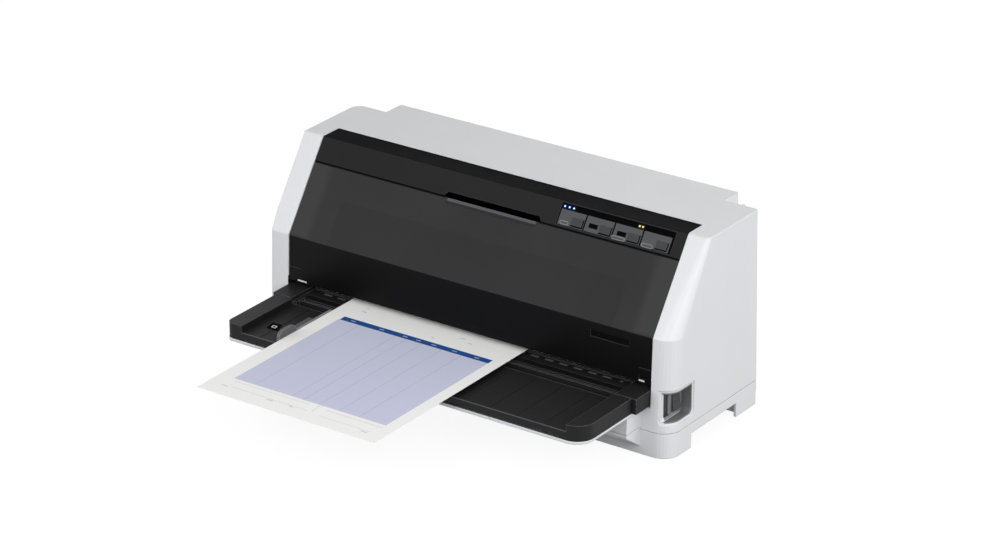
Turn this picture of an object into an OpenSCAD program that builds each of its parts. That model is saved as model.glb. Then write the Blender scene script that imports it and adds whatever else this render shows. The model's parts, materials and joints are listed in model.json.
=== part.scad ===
// Flatbed dot matrix printer with a hinged smoked front cover.
// Millimetres. X runs to the right, Y to the rear, Z up from the table.
// Heights and depths are laid out from the fold in the casing's front; placed() moves
// them into the part's frame, whose origin is the middle of the footprint on the table.

/* [Casing] */
// Width of the casing
case_width = 480; // [460:1:520]
// Height of the casing above the table
case_height = 208.4; // [200:0.1:230]
// Depth of the casing at its top, from the fold to the rear wall
case_depth = 147; // [146:1:156]
// Wall thickness of the casing
wall = 2.5; // [2:0.1:3.5]
// Height of the fold between the upright and the sloping front
fold_height = 121.7; // [112:0.1:130]
// Depth that the sloping front covers
slope_depth = 59.9; // [56:0.1:64]
// How far the front leans forward at the table
front_lean = 5.5; // [3:0.1:8]
// How far the rear wall leans back at the table
rear_lean = 6; // [4:0.1:8]
// Height of the seam between lower and upper casing
seam_height = 26; // [24:0.1:30]
// Width of the pale end frames beside the front opening
end_frame_width = 23.4; // [21:0.1:26]
// Plan radius of the right front corner up to the fold
right_front_radius = 18; // [12:0.5:22]
// Plan radius of the right front corner at the top edge
right_top_radius = 5; // [4:0.5:10]
// Plan radius of the left front corner up to the fold
left_front_radius = 5.5; // [4:0.5:10]
// Plan radius of the left front corner on the slope
left_top_radius = 1; // [0.8:0.1:4]
// Plan radius of the right rear corner
right_rear_radius = 2.5; // [1:0.5:8]
// Plan radius of the left rear corner
left_rear_radius = 12; // [8:0.5:16]
// Chamfer around the top face
edge_chamfer = 0.8; // [0.4:0.1:1.2]
// Depth of the hood on the rear wall
hood_depth = 24; // [20:0.5:30]
// Distance of the hood's ends from the casing's sides
hood_margin = 38; // [30:1:45]
// Height of the hood's lower edge
hood_bottom = 95; // [92:0.5:110]

/* [Feet] */
// Height of the casing floor above the table
foot_height = 15.7; // [12:0.1:18]
// Width of each foot
foot_width = 42; // [34:1:50]
// Length of the front feet
front_foot_length = 39; // [32:1:46]
// Length of the rear feet
rear_foot_length = 36; // [30:1:44]
// Diameter of the rubber pads
pad_diameter = 16; // [12:0.5:20]
// How far the pads stand out of the feet
pad_stand_out = 0.8; // [0.5:0.1:1.5]

/* [Control panel] */
// Depth of the black strip on top, behind the crease
top_strip_depth = 25.8; // [20:0.1:30]
// Length of the control band down the slope
band_length = 27.5; // [25:0.1:32]
// Thickness of the control band
band_thickness = 2.5; // [2:0.1:3]
// How far band and cover lie below the end frames
front_inset = 0.8; // [0.5:0.1:1.5]
// Width of the control plate
plate_width = 130; // [120:1:136]
// Length of the control plate down the slope
plate_length = 22.3; // [20:0.1:24]
// Distance of the control plate from the right end of the front opening
plate_margin = 12.6; // [9:0.1:20]
// Distance between the keys
key_pitch = 32.1; // [28:0.1:34]
// Width of a key
key_width = 12; // [9:0.1:14]
// Length of a key down the slope
key_length = 7; // [5:0.1:9]
// Travel of a key
key_travel = 0.6; // [0.4:0.1:1]

/* [Smoked cover] */
// Thickness of the smoked cover
cover_thickness = 2.2; // [1.8:0.1:3]
// Height of the cover's lower edge
cover_bottom = 74; // [73:0.1:76]
// Height of the cover's hinge line
hinge_height = 80; // [79:0.1:81]
// Depth of the cover's hinge line behind the fold
hinge_depth = 6.5; // [6:0.1:8]
// Radius of the hinge pins
hinge_pin_radius = 2; // [1.5:0.1:2.5]
// Half width of the finger notch
notch_half_width = 60; // [50:1:70]

/* [Front tray] */
// Reach of the tray in front of the fold
tray_reach = 108.7; // [100:0.1:120]
// Distance of the tray's sides from the ends of the front opening
tray_margin = 5.3; // [3:0.1:9]
// Width of the tray's side rims
rim_width = 19.3; // [16:0.1:26]
// Height of the rims' top face
rim_top = 68.7; // [68:0.1:71]
// Height of the tray floor
tray_floor = 61.5; // [60:0.1:63]
// Height of the ledge between the tray floor and the paper guide
ledge_height = 64.5; // [64:0.1:65.5]
// Height of the tray's underside
tray_bottom = 52.6; // [51:0.1:56]
// Thickness of the pale plate under the tray
under_plate = 2.5; // [2:0.1:5]
// How far the pale plate stands out under the tray's front edge
plate_stand_out = 1; // [0.5:0.1:3]
// Plan radius of the tray's right front corner
tray_right_radius = 19; // [14:0.5:24]
// Plan radius of the tray's left front corner
tray_left_radius = 8; // [5:0.5:14]

/* [Paper] */
// Width of the loaded sheet
sheet_width = 210; // [148:1:216]
// Length of the loaded sheet
sheet_length = 297; // [210:1:300]
// Left edge of the sheet, from the centre line
sheet_left = -143; // [-146:1:-140]
// Reach of the sheet in front of the fold
sheet_reach = 238; // [150:1:240]
// Height of the sheet's lower face
sheet_height = 67; // [66.8:0.1:67.4]
// Thickness of the modelled sheet
sheet_thickness = 0.3; // [0.2:0.05:0.4]

/* [Paper drive] */
// Depth of the print line behind the fold
print_line = 63; // [60:0.5:66]
// Radius of the feed rollers
roller_radius = 9; // [8.5:0.1:9.5]
// Radius of the pinch rollers
pinch_radius = 6; // [5:0.1:6.5]
// Radius of the feed roller shafts
roller_shaft_radius = 4; // [3:0.1:4.5]
// Module of the feed gears
gear_module = 1; // [0.98:0.01:1.02]
// Width of the feed gears
gear_width = 6; // [4:0.5:7]
// Teeth of the roller gears
roller_teeth = 30; // [29:1:31]
// Teeth of the middle gear
middle_teeth = 40; // [39:1:42]
// Teeth of the motor pinion
pinion_teeth = 16; // [15:1:18]
// Teeth of the transfer gear
transfer_teeth = 46; // [45:1:50]
// Teeth of the tractor gear
tractor_teeth = 54; // [52:1:56]

/* [Print head] */
// Distance of the side frames from the casing's sides
frame_margin = 44; // [40:0.5:46]
// Thickness of the side frames
frame_thickness = 2; // [1.5:0.1:2.5]
// Radius of the carriage shaft
shaft_radius = 6; // [5:0.1:7]
// Width of the carriage
carriage_width = 64; // [54:1:68]
// Distance of the belt pulleys from the side frames
pulley_margin = 24; // [20:0.5:26]
// Pitch radius of the belt pulleys
pulley_radius = 6.4; // [5.5:0.1:7]
// Radius of both motors
motor_radius = 17.5; // [15:0.1:17.6]

/* [Rear tractor] */
// Depth of the tractor shaft behind the fold
tractor_depth = 185; // [184:0.5:187]
// Reach of the tractor frame behind the fold
tractor_reach = 258; // [250:1:262]
// Pins on each pin wheel
wheel_pins = 8; // [8:1:9]
// Distance between pins along the wheel
pin_pitch = 12.7; // [12.5:0.05:12.8]
// Side of the square tractor shaft
square_side = 8; // [6:0.1:9]
// Radius of the tractor's support bar
bar_radius = 4; // [3:0.1:5]

/* [Clearances] */
// Radial running clearance of shafts and pins
running = 0.05; // [0.02:0.01:0.1]
// Clearance between parts that move past each other
gap = 0.3; // [0.25:0.05:0.5]

/* [Hidden] */
$fn = 48;
eps = 0.01;
shell_white = [0.86, 0.86, 0.88];
smoke_black = [0.13, 0.13, 0.14];
tray_black = [0.17, 0.17, 0.18];
steel = [0.66, 0.68, 0.70];

// The sheet reaches furthest forward and the tractor furthest back
placed_y = (sheet_reach - tractor_reach) / 2;
case_half = case_width / 2;
opening_half = case_half - end_frame_width;
insert_half = opening_half - 0.6;
frame_half_width = case_half - frame_margin;
hood_half_width = case_half - hood_margin;
tray_half_width = opening_half - tray_margin;
pulley_offset = frame_half_width - pulley_margin;
plate_centre = opening_half - plate_margin - plate_width / 2;
slope_angle = atan2(slope_depth, case_height - fold_height);
floor_top = foot_height + wall;

// Front and rear faces of the casing at height z
function front_y(z) = z < fold_height ? -front_lean * (1 - z / fold_height)
    : (z - fold_height) * slope_depth / (case_height - fold_height);
function rear_y(z) = case_depth + rear_lean * (1 - z / case_height);
// Point at distance s down the slope from the crease, at a depth below its face
function slope_point(s, depth) = [slope_depth - s * sin(slope_angle) + depth * cos(slope_angle),
    case_height - s * cos(slope_angle) - depth * sin(slope_angle)];
// Corner under the fold, at a depth below both faces
function fold_corner(depth) = [depth, slope_point((slope_depth - depth * (1 - cos(slope_angle)))
    / sin(slope_angle), depth)[1]];

module placed() translate([0, placed_y, 0]) children();
// Extrudes a side view, drawn in Y and Z, from x0 to x1
module side_prism(x0, x1) translate([x0, 0, 0]) rotate([90, 0, 90]) linear_extrude(x1 - x0) children();
// Cylinder along X from x0 to x1 around the point p = [y, z]
module rod(x0, x1, p, radius) translate([x0, p[0], p[1]]) rotate([0, 90, 0])
    cylinder(r = radius, h = x1 - x0);
module block(low, high) translate(low) cube(high - low);
// Frame on the slope: X to the right, Y up the slope, Z out of it
module on_slope(x, s) translate([x, slope_point(s, 0)[0], slope_point(s, 0)[1]])
    rotate([90 - slope_angle, 0, 0]) children();
module mirrored() { children(); mirror([1, 0, 0]) children(); }
module rounded_rect(size, r) {
    translate([r, 0]) square([size[0] - 2 * r, size[1]]);
    translate([0, r]) square([size[0], size[1] - 2 * r]);
    for (x = [r, size[0] - r], y = [r, size[1] - r]) translate([x, y]) circle(r);
}

/* Casing */

// One thin level slice of the casing's outer form, set in on every side
module case_slice(z, inset, left_radius, right_radius) {
    low_y = front_y(z) + inset;
    high_y = rear_y(z) - inset;
    for (corner = [[-1, low_y, 1, left_radius], [1, low_y, 1, right_radius],
        [-1, high_y, -1, left_rear_radius], [1, high_y, -1, right_rear_radius]]) {
        r = max(0.8, corner[3] - inset);
        translate([corner[0] * (case_half - inset - r), corner[1] + corner[2] * r, z])
            cylinder(r = r, h = eps, $fn = 32);
    }
}

// The left front corner sharpens soon above the fold, the right one only towards the top
blend_height = 17;
blend_radius = right_front_radius + (right_top_radius - right_front_radius) * blend_height
    / (case_height - fold_height);
module case_form(inset, bottom) hull() {
    case_slice(bottom, inset, left_front_radius, right_front_radius);
    case_slice(fold_height, inset, left_front_radius, right_front_radius);
    case_slice(fold_height + blend_height, inset, left_top_radius, blend_radius);
    case_slice(case_height - inset - edge_chamfer, inset, left_top_radius, right_top_radius);
    case_slice(case_height - inset - eps, inset + edge_chamfer, left_top_radius, right_top_radius);
}

// The chin that carries the tray in front of the casing
chin_half = tray_half_width - 5;
chin_front = 27;
chin_top = tray_bottom - under_plate;
chin_seam = seam_height + 2;
module chin(inset) side_prism(-chin_half + inset, chin_half - inset)
    polygon([[3, chin_top - inset], [-chin_front + inset, chin_top - inset], [-chin_front - 1 + inset, 25],
        [-5 + inset, 8.6 + inset], [3, 8.6 + inset]]);

module foot(y0, y1) mirrored() block([case_half - foot_width, y0, pad_stand_out],
    [case_half + 1, y1, foot_height + eps]);

pad_centres = [front_foot_length / 2 - front_lean, rear_y(0) - 3 - rear_foot_length / 2];
pad_x = case_half - foot_width / 2;
boss_x = case_half - wall - 7;
boss_depths = [50, 115];
boss_radius = 4.5;
boss_height = 34;
screw_radius = 1.6;
screw_reach = 22;
groove_height = 0.5;
groove_depth = 1.2;
foot_pocket = 8;
rear_foot_front = rear_y(0) - 3 - rear_foot_length;

module lower_case() color(shell_white) placed() difference() {
    union() {
        intersection() {
            case_form(0, 0);
            union() {
                block([-case_half, -20, foot_height], [case_half, case_depth + 20, seam_height]);
                foot(-20, front_foot_length - front_lean);
                foot(rear_foot_front, rear_y(0) - 3);
                block([-case_half, -20, pad_stand_out],
                    [case_half, -front_lean + 2.6 + wall, foot_height + eps]);
            }
        }
        intersection() {
            chin(0);
            union() {
                block([-case_half, -chin_front - 2, 0], [case_half, wall, seam_height]);
                block([-case_half, -chin_front - 2, 0], [case_half, front_y(seam_height) - eps, chin_seam]);
            }
        }
    }
    difference() {
        union() {
            case_form(wall, floor_top);
            chin(wall);
        }
        mirrored() for (y = boss_depths) translate([boss_x, y, 0]) cylinder(r = boss_radius, h = seam_height);
    }
    for (y = pad_centres) mirrored() translate([pad_x, y, -1])
        cylinder(d = pad_diameter, h = 1 + 2 * pad_stand_out);
    mirrored() for (y = boss_depths) translate([boss_x, y, 0]) {
        cylinder(r = screw_radius, h = seam_height + 1);
        cylinder(r = 2 * screw_radius + 0.2, h = foot_height + 2);
    }
    mirrored() block([case_half - foot_width + wall, rear_foot_front - 1, -1],
        [case_half - wall, rear_foot_front + foot_pocket, foot_height]);
}

// The paper's way through the frame ends short of the carriage motor
slot_clearance = 2.5;
paper_slot_half = pulley_offset - motor_radius - slot_clearance;
recess_low = 36.7;
recess_high = 68;
recess_rear = 35.2;
recess_floor_x = case_half - 12.5;
recess_rim = 2.2;
rim_depth = 1.2;
lining = 1.2;
flange = 1;
frame_height = 2.5;
frame_outline = [[7.9, 30.9], [41.5, 67.8]];
rocker_y = 19.4;
rocker_z = 54.8;
window_half = [6.3, 11.5];
body_half = [8, 12.5];
inlet_x = case_half - 24;
inlet_z = 45;
port_z = 125;

// Side view of the switch recess with rounded lower corners
module recess_outline(inset) translate([-12, recess_low + inset]) {
    height = recess_high - recess_low - 2 * inset;
    rounded_rect([recess_rear + 12 - inset, height], 5);
    translate([0, 8]) square([recess_rear + 12 - inset, height - 8]);
}

// Recess around the right front corner, open to the front and to the right
module recess(inset) intersection() {
    side_prism(recess_floor_x + inset, case_half + 5) recess_outline(inset);
    translate([recess_floor_x + inset, 60, recess_low + inset]) rotate([90, 0, 0])
        linear_extrude(90) rounded_rect([40, 60], 5);
}

module front_window() side_prism(-opening_half, opening_half)
    polygon([[-60, chin_top + eps], [24, chin_top + eps],
    [slope_depth + top_strip_depth, case_height - 60], [slope_depth + top_strip_depth, case_height + 1],
    [-60, case_height + 1]]);

// Inner walls of the end frames, which carry the cover's hinge pins
module jambs() mirrored() intersection() {
    case_form(0, 0);
    side_prism(opening_half, opening_half + wall) polygon([[-20, seam_height], [20, seam_height], [20, 118],
        [slope_depth + top_strip_depth, case_height - 8], [slope_depth + top_strip_depth, case_height],
        [-20, case_height]]);
}

// Shadow line along the casing's seam, cut into the lower edge of the upper part
module seam_groove() difference() {
    union() {
        block([-case_half - 1, front_y(seam_height) - eps, seam_height - 1],
            [case_half + 1, case_depth + 20, seam_height + groove_height]);
        block([-case_half - 1, -chin_front - 3, seam_height - 1],
            [case_half + 1, front_y(seam_height), chin_seam + groove_height]);
    }
    case_form(groove_depth, 0);
    chin(groove_depth);
}

module hood(inset) block([-hood_half_width + inset, case_depth - 12, hood_bottom + inset],
    [hood_half_width - inset, case_depth + hood_depth - inset, case_height - inset]);

module upper_case() color(shell_white) placed() difference() {
    union() {
        difference() {
            union() {
                intersection() {
                    case_form(0, 0);
                    block([-case_half, -20, seam_height], [case_half, case_depth + 20, case_height]);
                }
                hood(0);
                intersection() {
                    chin(0);
                    block([-case_half, -chin_front - 2, chin_seam], [case_half, wall, chin_top]);
                }
                translate([case_half - 19, case_depth, case_height - 4]) cube([3, 1.5, 4]);
            }
            case_form(wall, seam_height - 1);
            hood(wall);
            chin(wall);
            front_window();
            seam_groove();
        }
        jambs();
        intersection() {
            case_form(0, 0);
            block([recess_floor_x - wall, -20, recess_low - wall],
                [case_half, recess_rear + wall, recess_high + wall]);
        }
        mirrored() for (y = boss_depths) {
            translate([boss_x, y, seam_height]) cylinder(r = boss_radius, h = boss_height);
            block([boss_x, y - 1, seam_height + groove_height],
                [case_half - wall + 1, y + 1, seam_height + boss_height]);
        }
    }
    recess(0);
    difference() {
        recess(-recess_rim);
        case_form(rim_depth, 0);
    }
    block([opening_half - 1, rocker_y - body_half[0], rocker_z - body_half[1]],
        [recess_floor_x + 1, rocker_y + body_half[0], rocker_z + body_half[1]]);
    mirrored() rod(opening_half - 1, opening_half + wall, [hinge_depth, hinge_height], hinge_pin_radius);
    block([-paper_slot_half, case_depth - 10, 60], [paper_slot_half, case_depth + 10, 82]);
    side_prism(-gear_x - gap - 1, -gear_x + gear_width + gap + 1) translate(transfer_axis)
        circle(transfer_radius + gear_module + 1);
    block([inlet_x - 14, case_depth - 5, inlet_z - 12], [inlet_x + 14, case_depth + 10, inlet_z + 12]);
    for (port = port_sizes) block([port[0] - gap / 2, case_depth + hood_depth - wall - 1,
        port_z - port[2] / 2],
        [port[0] + port[1] + gap / 2, case_depth + hood_depth + 1, port_z + port[2] / 2]);
    mirrored() for (y = boss_depths) translate([boss_x, y, seam_height - 1])
        cylinder(r = screw_radius, h = screw_reach + 3);
}

module rubber_feet() color([0.2, 0.2, 0.2]) placed() for (y = pad_centres) mirrored()
    translate([pad_x, y, 0]) cylinder(d = pad_diameter, h = 2 * pad_stand_out);

module case_screws() color(steel) placed() mirrored() for (y = boss_depths) translate([boss_x, y, 0]) {
    translate([0, 0, foot_height + 0.4]) cylinder(r = 2 * screw_radius, h = 1.6);
    translate([0, 0, foot_height + 1.6])
        cylinder(r = screw_radius, h = seam_height + screw_reach - foot_height);
}

/* Control panel */

key_s = 18.2;
key_x = [for (i = [0:3]) plate_centre + (i - 1.5) * key_pitch + 5.3];
light_s = 5.6;
plate_s = 2.2;
blue_light_x = [for (i = [0:2]) plate_centre - plate_width / 2 + 3.7 + 5.2 * i];
amber_light_x = [for (i = [0:1]) plate_centre + 24.3 + 3.7 * i];
light_x = concat(blue_light_x, amber_light_x);
light_size = [1.8, 1.6];
plate_thickness = 1;
board_depth = 8;
board_thickness = 1.6;

// Band that folds over the crease, with the finger notch in its lower edge
module control_band() color(smoke_black) placed() difference() {
    side_prism(-insert_half, insert_half)
        polygon([[slope_depth + top_strip_depth - gap, case_height - front_inset],
        [slope_depth + top_strip_depth - gap, case_height - front_inset - band_thickness],
        slope_point(3, front_inset + band_thickness + 2),
            slope_point(band_length - gap, front_inset + band_thickness + 2),
        slope_point(band_length - gap, front_inset), slope_point(front_inset * tan(27), front_inset)]);
    side_prism(-insert_half + wall, insert_half - wall) polygon([
        [slope_depth + 8, case_height - front_inset - band_thickness - eps],
        slope_point(4.5, front_inset + band_thickness),
            slope_point(band_length - gap - wall, front_inset + band_thickness),
        slope_point(band_length - gap - wall, 20), [slope_depth + 8, case_height - 20]]);
    on_slope(0, band_length) linear_extrude(40, center = true)
        polygon([[-notch_half_width, -2], [notch_half_width, -2],
        [notch_half_width - 6, 6], [-notch_half_width + 6, 6]]);
    on_slope(plate_centre, plate_s + plate_length / 2) translate([0, 0, -front_inset])
        cube([plate_width + gap, plate_length + gap, 2 * plate_thickness], center = true);
    for (x = key_x) on_slope(x, key_s) cube([key_width + 2 * gap, key_length + 2 * gap, 30], center = true);
    for (x = light_x) on_slope(x, light_s) cube([light_size[0], light_size[1], 30], center = true);
}

module control_plate() color([0.35, 0.35, 0.36]) placed() difference() {
    on_slope(plate_centre, plate_s + plate_length / 2)
        translate([0, 0, -front_inset - plate_thickness / 2 + 0.1])
        cube([plate_width, plate_length, plate_thickness], center = true);
    for (x = key_x) on_slope(x, key_s) cube([key_width + 2 * gap, key_length + 2 * gap, 30], center = true);
    for (x = light_x) on_slope(x, light_s) cube([light_size[0], light_size[1], 30], center = true);
}

// Circuit board with its key switches, on posts under the band
// A pressed key stays proud of the band and stops just above its switch
key_proud = 0.2;
key_flange = 1;
key_underside = front_inset + band_thickness + gap + key_flange;
switch_height = board_depth - key_underside - key_travel - gap;

module panel_board() color([0.12, 0.35, 0.2]) placed() {
    on_slope(plate_centre, 14) translate([0, 0, -board_depth - board_thickness])
        translate([-plate_width / 2, -9, 0]) cube([plate_width, 18, board_thickness]);
    for (x = key_x) on_slope(x, key_s) translate([-3, -2.4, -board_depth - board_thickness / 2])
        cube([6, 4.8, switch_height + board_thickness / 2]);
    for (x = [-1, 0, 1] * (plate_width / 2 - 4)) on_slope(plate_centre + x, 11.5)
        translate([0, 0, -board_depth - board_thickness / 2])
        cylinder(r = 2, h = board_depth + board_thickness / 2 - front_inset - band_thickness);
}

module status_lights() color([0.3, 0.6, 1]) placed() for (x = light_x) on_slope(x, light_s)
    translate([-light_size[0] / 2, -light_size[1] / 2, -board_depth])
    cube([light_size[0], light_size[1], board_depth - front_inset + 0.3]);

// Key cap with a retaining rim below the band
module key(index) color([0.42, 0.42, 0.43]) placed() on_slope(key_x[index], key_s) {
    translate([-key_width / 2, -key_length / 2, -key_underside + gap])
        cube([key_width, key_length, key_flange + band_thickness + key_travel + key_proud]);
    translate([-key_width / 2 - 1, -key_length / 2 - 1, -key_underside])
        cube([key_width + 2, key_length + 2, key_flange]);
}
module key_1() key(0);
module key_2() key(1);
module key_3() key(2);
module key_4() key(3);

/* Smoked cover */

cover_depth = front_inset + cover_thickness;
module cover_profile() polygon([slope_point(band_length, front_inset), fold_corner(front_inset),
    [front_y(cover_bottom) + front_inset, cover_bottom], [front_y(cover_bottom) + cover_depth, cover_bottom],
    fold_corner(cover_depth), slope_point(band_length, cover_depth)]);
ear_thickness = 3;
ear_radius = 4.5;
corner_width = 13.5;
corner_height = 14;
line_width = 0.6;
line_depth = 0.4;

module front_cover() color(smoke_black) placed() difference() {
    union() {
        side_prism(-insert_half, insert_half) cover_profile();
        mirrored() rod(insert_half - ear_thickness, insert_half, [hinge_depth, hinge_height], ear_radius);
        mirrored() side_prism(insert_half - ear_thickness, insert_half) polygon([
            [front_y(84) + front_inset + 0.5, 84], [front_y(96) + cover_depth, 96],
            [hinge_depth + 3.5, hinge_height + 2.8], [hinge_depth - 3.6, hinge_height - 2.7]]);
    }
    mirrored() rod(insert_half - ear_thickness - 1, insert_half + 1, [hinge_depth, hinge_height],
        hinge_pin_radius + running);
    on_slope(0, band_length) translate([0, -3, -front_inset]) rotate([25, 0, 0])
        linear_extrude(6) polygon([[-notch_half_width + 8, -3], [notch_half_width - 8, -3],
            [notch_half_width, 4],
        [-notch_half_width, 4]]);
    block([insert_half - 70, -5, 106], [insert_half - 26, front_y(110) + front_inset + 0.6, 113]);
    mirrored() {
        block([insert_half - corner_width - line_width, -5, cover_bottom - 1],
            [insert_half - corner_width, front_y(cover_bottom) + front_inset + line_depth,
                cover_bottom + corner_height]);
        block([insert_half - corner_width - line_width, -5, cover_bottom + corner_height],
            [insert_half + 1, front_y(cover_bottom + corner_height) + front_inset + line_depth,
            cover_bottom + corner_height + line_width]);
    }
}

module hinge_pins() color(steel) placed() mirrored()
    rod(insert_half - ear_thickness - 0.5, opening_half + wall,
    [hinge_depth, hinge_height], hinge_pin_radius);

/* Front tray */

tray_inside = 12;
inner_half = tray_half_width - rim_width;
floor_rear = -25;
rib_depths = [-20.2, -18.6];
bar_front = -12.5;
bar_rear = -4.5;
trough_depth = 3;
line_pitch = 30.5;
line_count = 12;
lip_slots = [[-187.4, -184.5], [-176.2, -164.5], [-161.9, 183.2]];
lip_slot_height = 2.8;
lip_edge = 0.6;
rear_lip = 2;
rest_ribs = [15, 60, 105, 150, 195];
block_front = -27;
block_rear = 11;
bar_thickness = 0.8;

module tray_plan() {
    straight = tray_reach - tray_right_radius - 2;
    translate([-tray_half_width, -straight - 2]) square([2 * tray_half_width, straight]);
    for (corner = [[-1, tray_left_radius], [1, tray_right_radius]]) {
        x = corner[0] * (tray_half_width - corner[1]);
        translate([x, -tray_reach + corner[1]]) circle(corner[1]);
        translate([min(0, x), -tray_reach]) square([abs(x), tray_right_radius + 1]);
        translate([corner[0] < 0 ? -tray_half_width : 0, -tray_reach + corner[1]])
            square([tray_half_width, tray_right_radius]);
    }
}

// Tray with its side rims, rear ledge and end blocks
module tray_body() difference() {
    union() {
        translate([0, 0, tray_bottom]) linear_extrude(rim_top - tray_bottom) intersection() {
            tray_plan();
            translate([-case_half, -2 * tray_reach]) square([case_width, 2 * tray_reach + block_front - 1]);
        }
        block([-inner_half, block_front - 3, tray_bottom], [inner_half, tray_inside, ledge_height]);
        block([-inner_half, tray_inside - rear_lip, tray_bottom], [inner_half, tray_inside, guide_top]);
        mirrored() {
            block([inner_half - 5, block_front, tray_bottom], [inner_half + 5, block_rear, ledge_height]);
            block([inner_half + 1, block_front, tray_bottom], [opening_half - gap, block_rear, rim_top]);
        }
    }
    block([-inner_half, -tray_reach - 1, tray_floor], [inner_half, floor_rear, rim_top + 1]);
    block([-inner_half + 3, floor_rear, ledge_height - 2 * trough_depth],
        [inner_half - 3, rib_depths[0], ledge_height + 1]);
    block([-inner_half + 3, rib_depths[1], ledge_height - trough_depth],
        [inner_half - 3, bar_front, ledge_height + 1]);
    block([-inner_half + 3, bar_front - 1, ledge_height - bar_thickness],
        [inner_half - 3, bar_rear, ledge_height + 1]);
    for (i = [0:line_count - 1])
        block([inner_half - 26.9 - i * line_pitch, -tray_reach - 1, tray_floor - line_depth],
        [inner_half - 26.5 - i * line_pitch + line_width, floor_rear + 1, tray_floor + 1]);
    for (slot = lip_slots) block([slot[0], -tray_reach - 1, tray_bottom + lip_edge],
        [slot[1], -tray_reach + 1.5, tray_bottom + lip_slot_height]);
}

// Low ribs on the floor carry the sheet
module front_tray() color(tray_black) placed() {
    tray_body();
    for (x = rest_ribs) block([sheet_left + x, -tray_reach + 3, tray_floor - 1],
        [sheet_left + x + 2, floor_rear - 1, sheet_height - gap]);
}

// How far the pale plate stops in front of the casing's fold line
plate_rear = 4;
module tray_under_plate() color(shell_white) placed() difference() {
    translate([0, 0, chin_top]) linear_extrude(under_plate) difference() {
        translate([0, -plate_stand_out]) tray_plan();
        mirrored() translate([inner_half + 1 - gap, block_front - gap]) square([60, 60]);
        translate([-case_half, -plate_rear]) square([case_width, plate_rear]);
    }
    for (x = [65, 105]) translate([x, -tray_reach - 10, chin_top + 1.5]) rotate([-90, 0, 0])
        cylinder(r = 0.8, h = 14, $fn = 24);
}

module grounding_bar() color(steel) placed() block([-inner_half + 3, bar_front, ledge_height - bar_thickness],
    [inner_half - 3, bar_rear, ledge_height]);

guide_x = sheet_left - 0.8;
guide_front = -tray_reach - 1.5;
guide_rear = -21;
lobe_radius = 7;
lobe_length = 27;
lobe_top = 75;
module edge_guide() color(tray_black) placed() {
    side_prism(guide_x - 3, guide_x) intersection() {
        union() {
            translate([guide_front, 0]) square([guide_rear - guide_front, sheet_height + 0.2]);
            for (y = [lobe_radius, lobe_length - lobe_radius])
                translate([guide_front + y, lobe_top - lobe_radius])
                circle(lobe_radius);
            translate([guide_front + lobe_radius, 0]) square([lobe_length - 2 * lobe_radius, lobe_top]);
        }
        translate([guide_front, tray_floor + gap]) square([floor_rear - gap - guide_front, 40]);
    }
    block([guide_x - 14, -95, tray_floor + gap], [guide_x, -45, tray_floor + gap + 1.2]);
}

module paper_sheet() color([0.8, 0.8, 0.9]) placed()
    block([sheet_left, -sheet_reach, sheet_height],
        [sheet_left + sheet_width, sheet_length - sheet_reach, sheet_height + sheet_thickness]);

/* Power switch */

module rocker_window(x0, x1) block([x0, rocker_y - window_half[0], rocker_z - window_half[1]],
    [x1, rocker_y + window_half[0], rocker_z + window_half[1]]);

// Grey lining of the recess and the frame around the rocker
module switch_bezel() color([0.75, 0.75, 0.76]) placed() {
    intersection() {
        case_form(rim_depth, 0);
        difference() {
            recess(0);
            side_prism(recess_floor_x - 1, case_half + 6) recess_outline(lining);
        }
    }
    difference() {
        side_prism(recess_floor_x + flange, recess_floor_x + frame_height)
            translate([frame_outline[0][0], frame_outline[1][0]])
            rounded_rect([frame_outline[0][1] - frame_outline[0][0],
                frame_outline[1][1] - frame_outline[1][0]], 3);
        rocker_window(recess_floor_x, case_half);
    }
}

rocker_pivot = [recess_floor_x + 1.2, rocker_z];
rocker_radius = 3.5;
rocker_tilt = 7;
rocker_width = 12;

// Switch body behind the recess with a thin flange over the recess floor
module switch_body() color([0.15, 0.15, 0.15]) placed() difference() {
    union() {
        block([recess_floor_x - 18, rocker_y - body_half[0] + eps, rocker_z - body_half[1] + eps],
            [recess_floor_x + eps, rocker_y + body_half[0] - eps, rocker_z + body_half[1] - eps]);
        block([recess_floor_x, 3.2, frame_outline[1][0] - 0.5],
            [recess_floor_x + flange, recess_rear - lining - eps,
            recess_high - lining - eps]);
    }
    rocker_window(recess_floor_x, case_half);
    translate([rocker_pivot[0], rocker_y, rocker_pivot[1]]) rotate([90, 0, 0])
        cylinder(r = rocker_radius + running, h = 2 * window_half[0], center = true);
}

module power_rocker() color([0.45, 0.46, 0.46]) placed()
    translate([rocker_pivot[0], rocker_y, rocker_pivot[1]])
    rotate([0, -rocker_tilt, 0]) {
    rotate([90, 0, 0]) cylinder(r = rocker_radius, h = rocker_width, center = true);
    rotate([90, 0, 0]) linear_extrude(rocker_width, center = true)
        polygon([[0.4, 0], [1, 10], [3.6, 10.6], [2.8, 0],
        [3.6, -10.6], [1, -10]]);
}

/* Chassis */

chassis_top = floor_top + 1.5;
front_frame_y = 20;
roller_offset = gear_module * (roller_teeth + middle_teeth) / 2;
roller_z = sheet_height - gap - roller_radius;
front_axis = [print_line - roller_offset, roller_z];
rear_axis = [print_line + roller_offset, roller_z];
middle_axis = [print_line, roller_z];
pinch_z = sheet_height + sheet_thickness + gap + pinch_radius;
front_pinch_axis = [front_axis[0], pinch_z];
rear_pinch_axis = [rear_axis[0], pinch_z];
pinch_shaft_radius = 3;
stud_radius = 3;
shaft_axis = [print_line + 29, sheet_height + 27];
gear_x = frame_half_width + frame_thickness + 8 + gear_width;
pinion_angle = 225;
pinion_axis = middle_axis + gear_module * (middle_teeth + pinion_teeth) / 2 * [cos(pinion_angle),
    sin(pinion_angle)];

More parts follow.
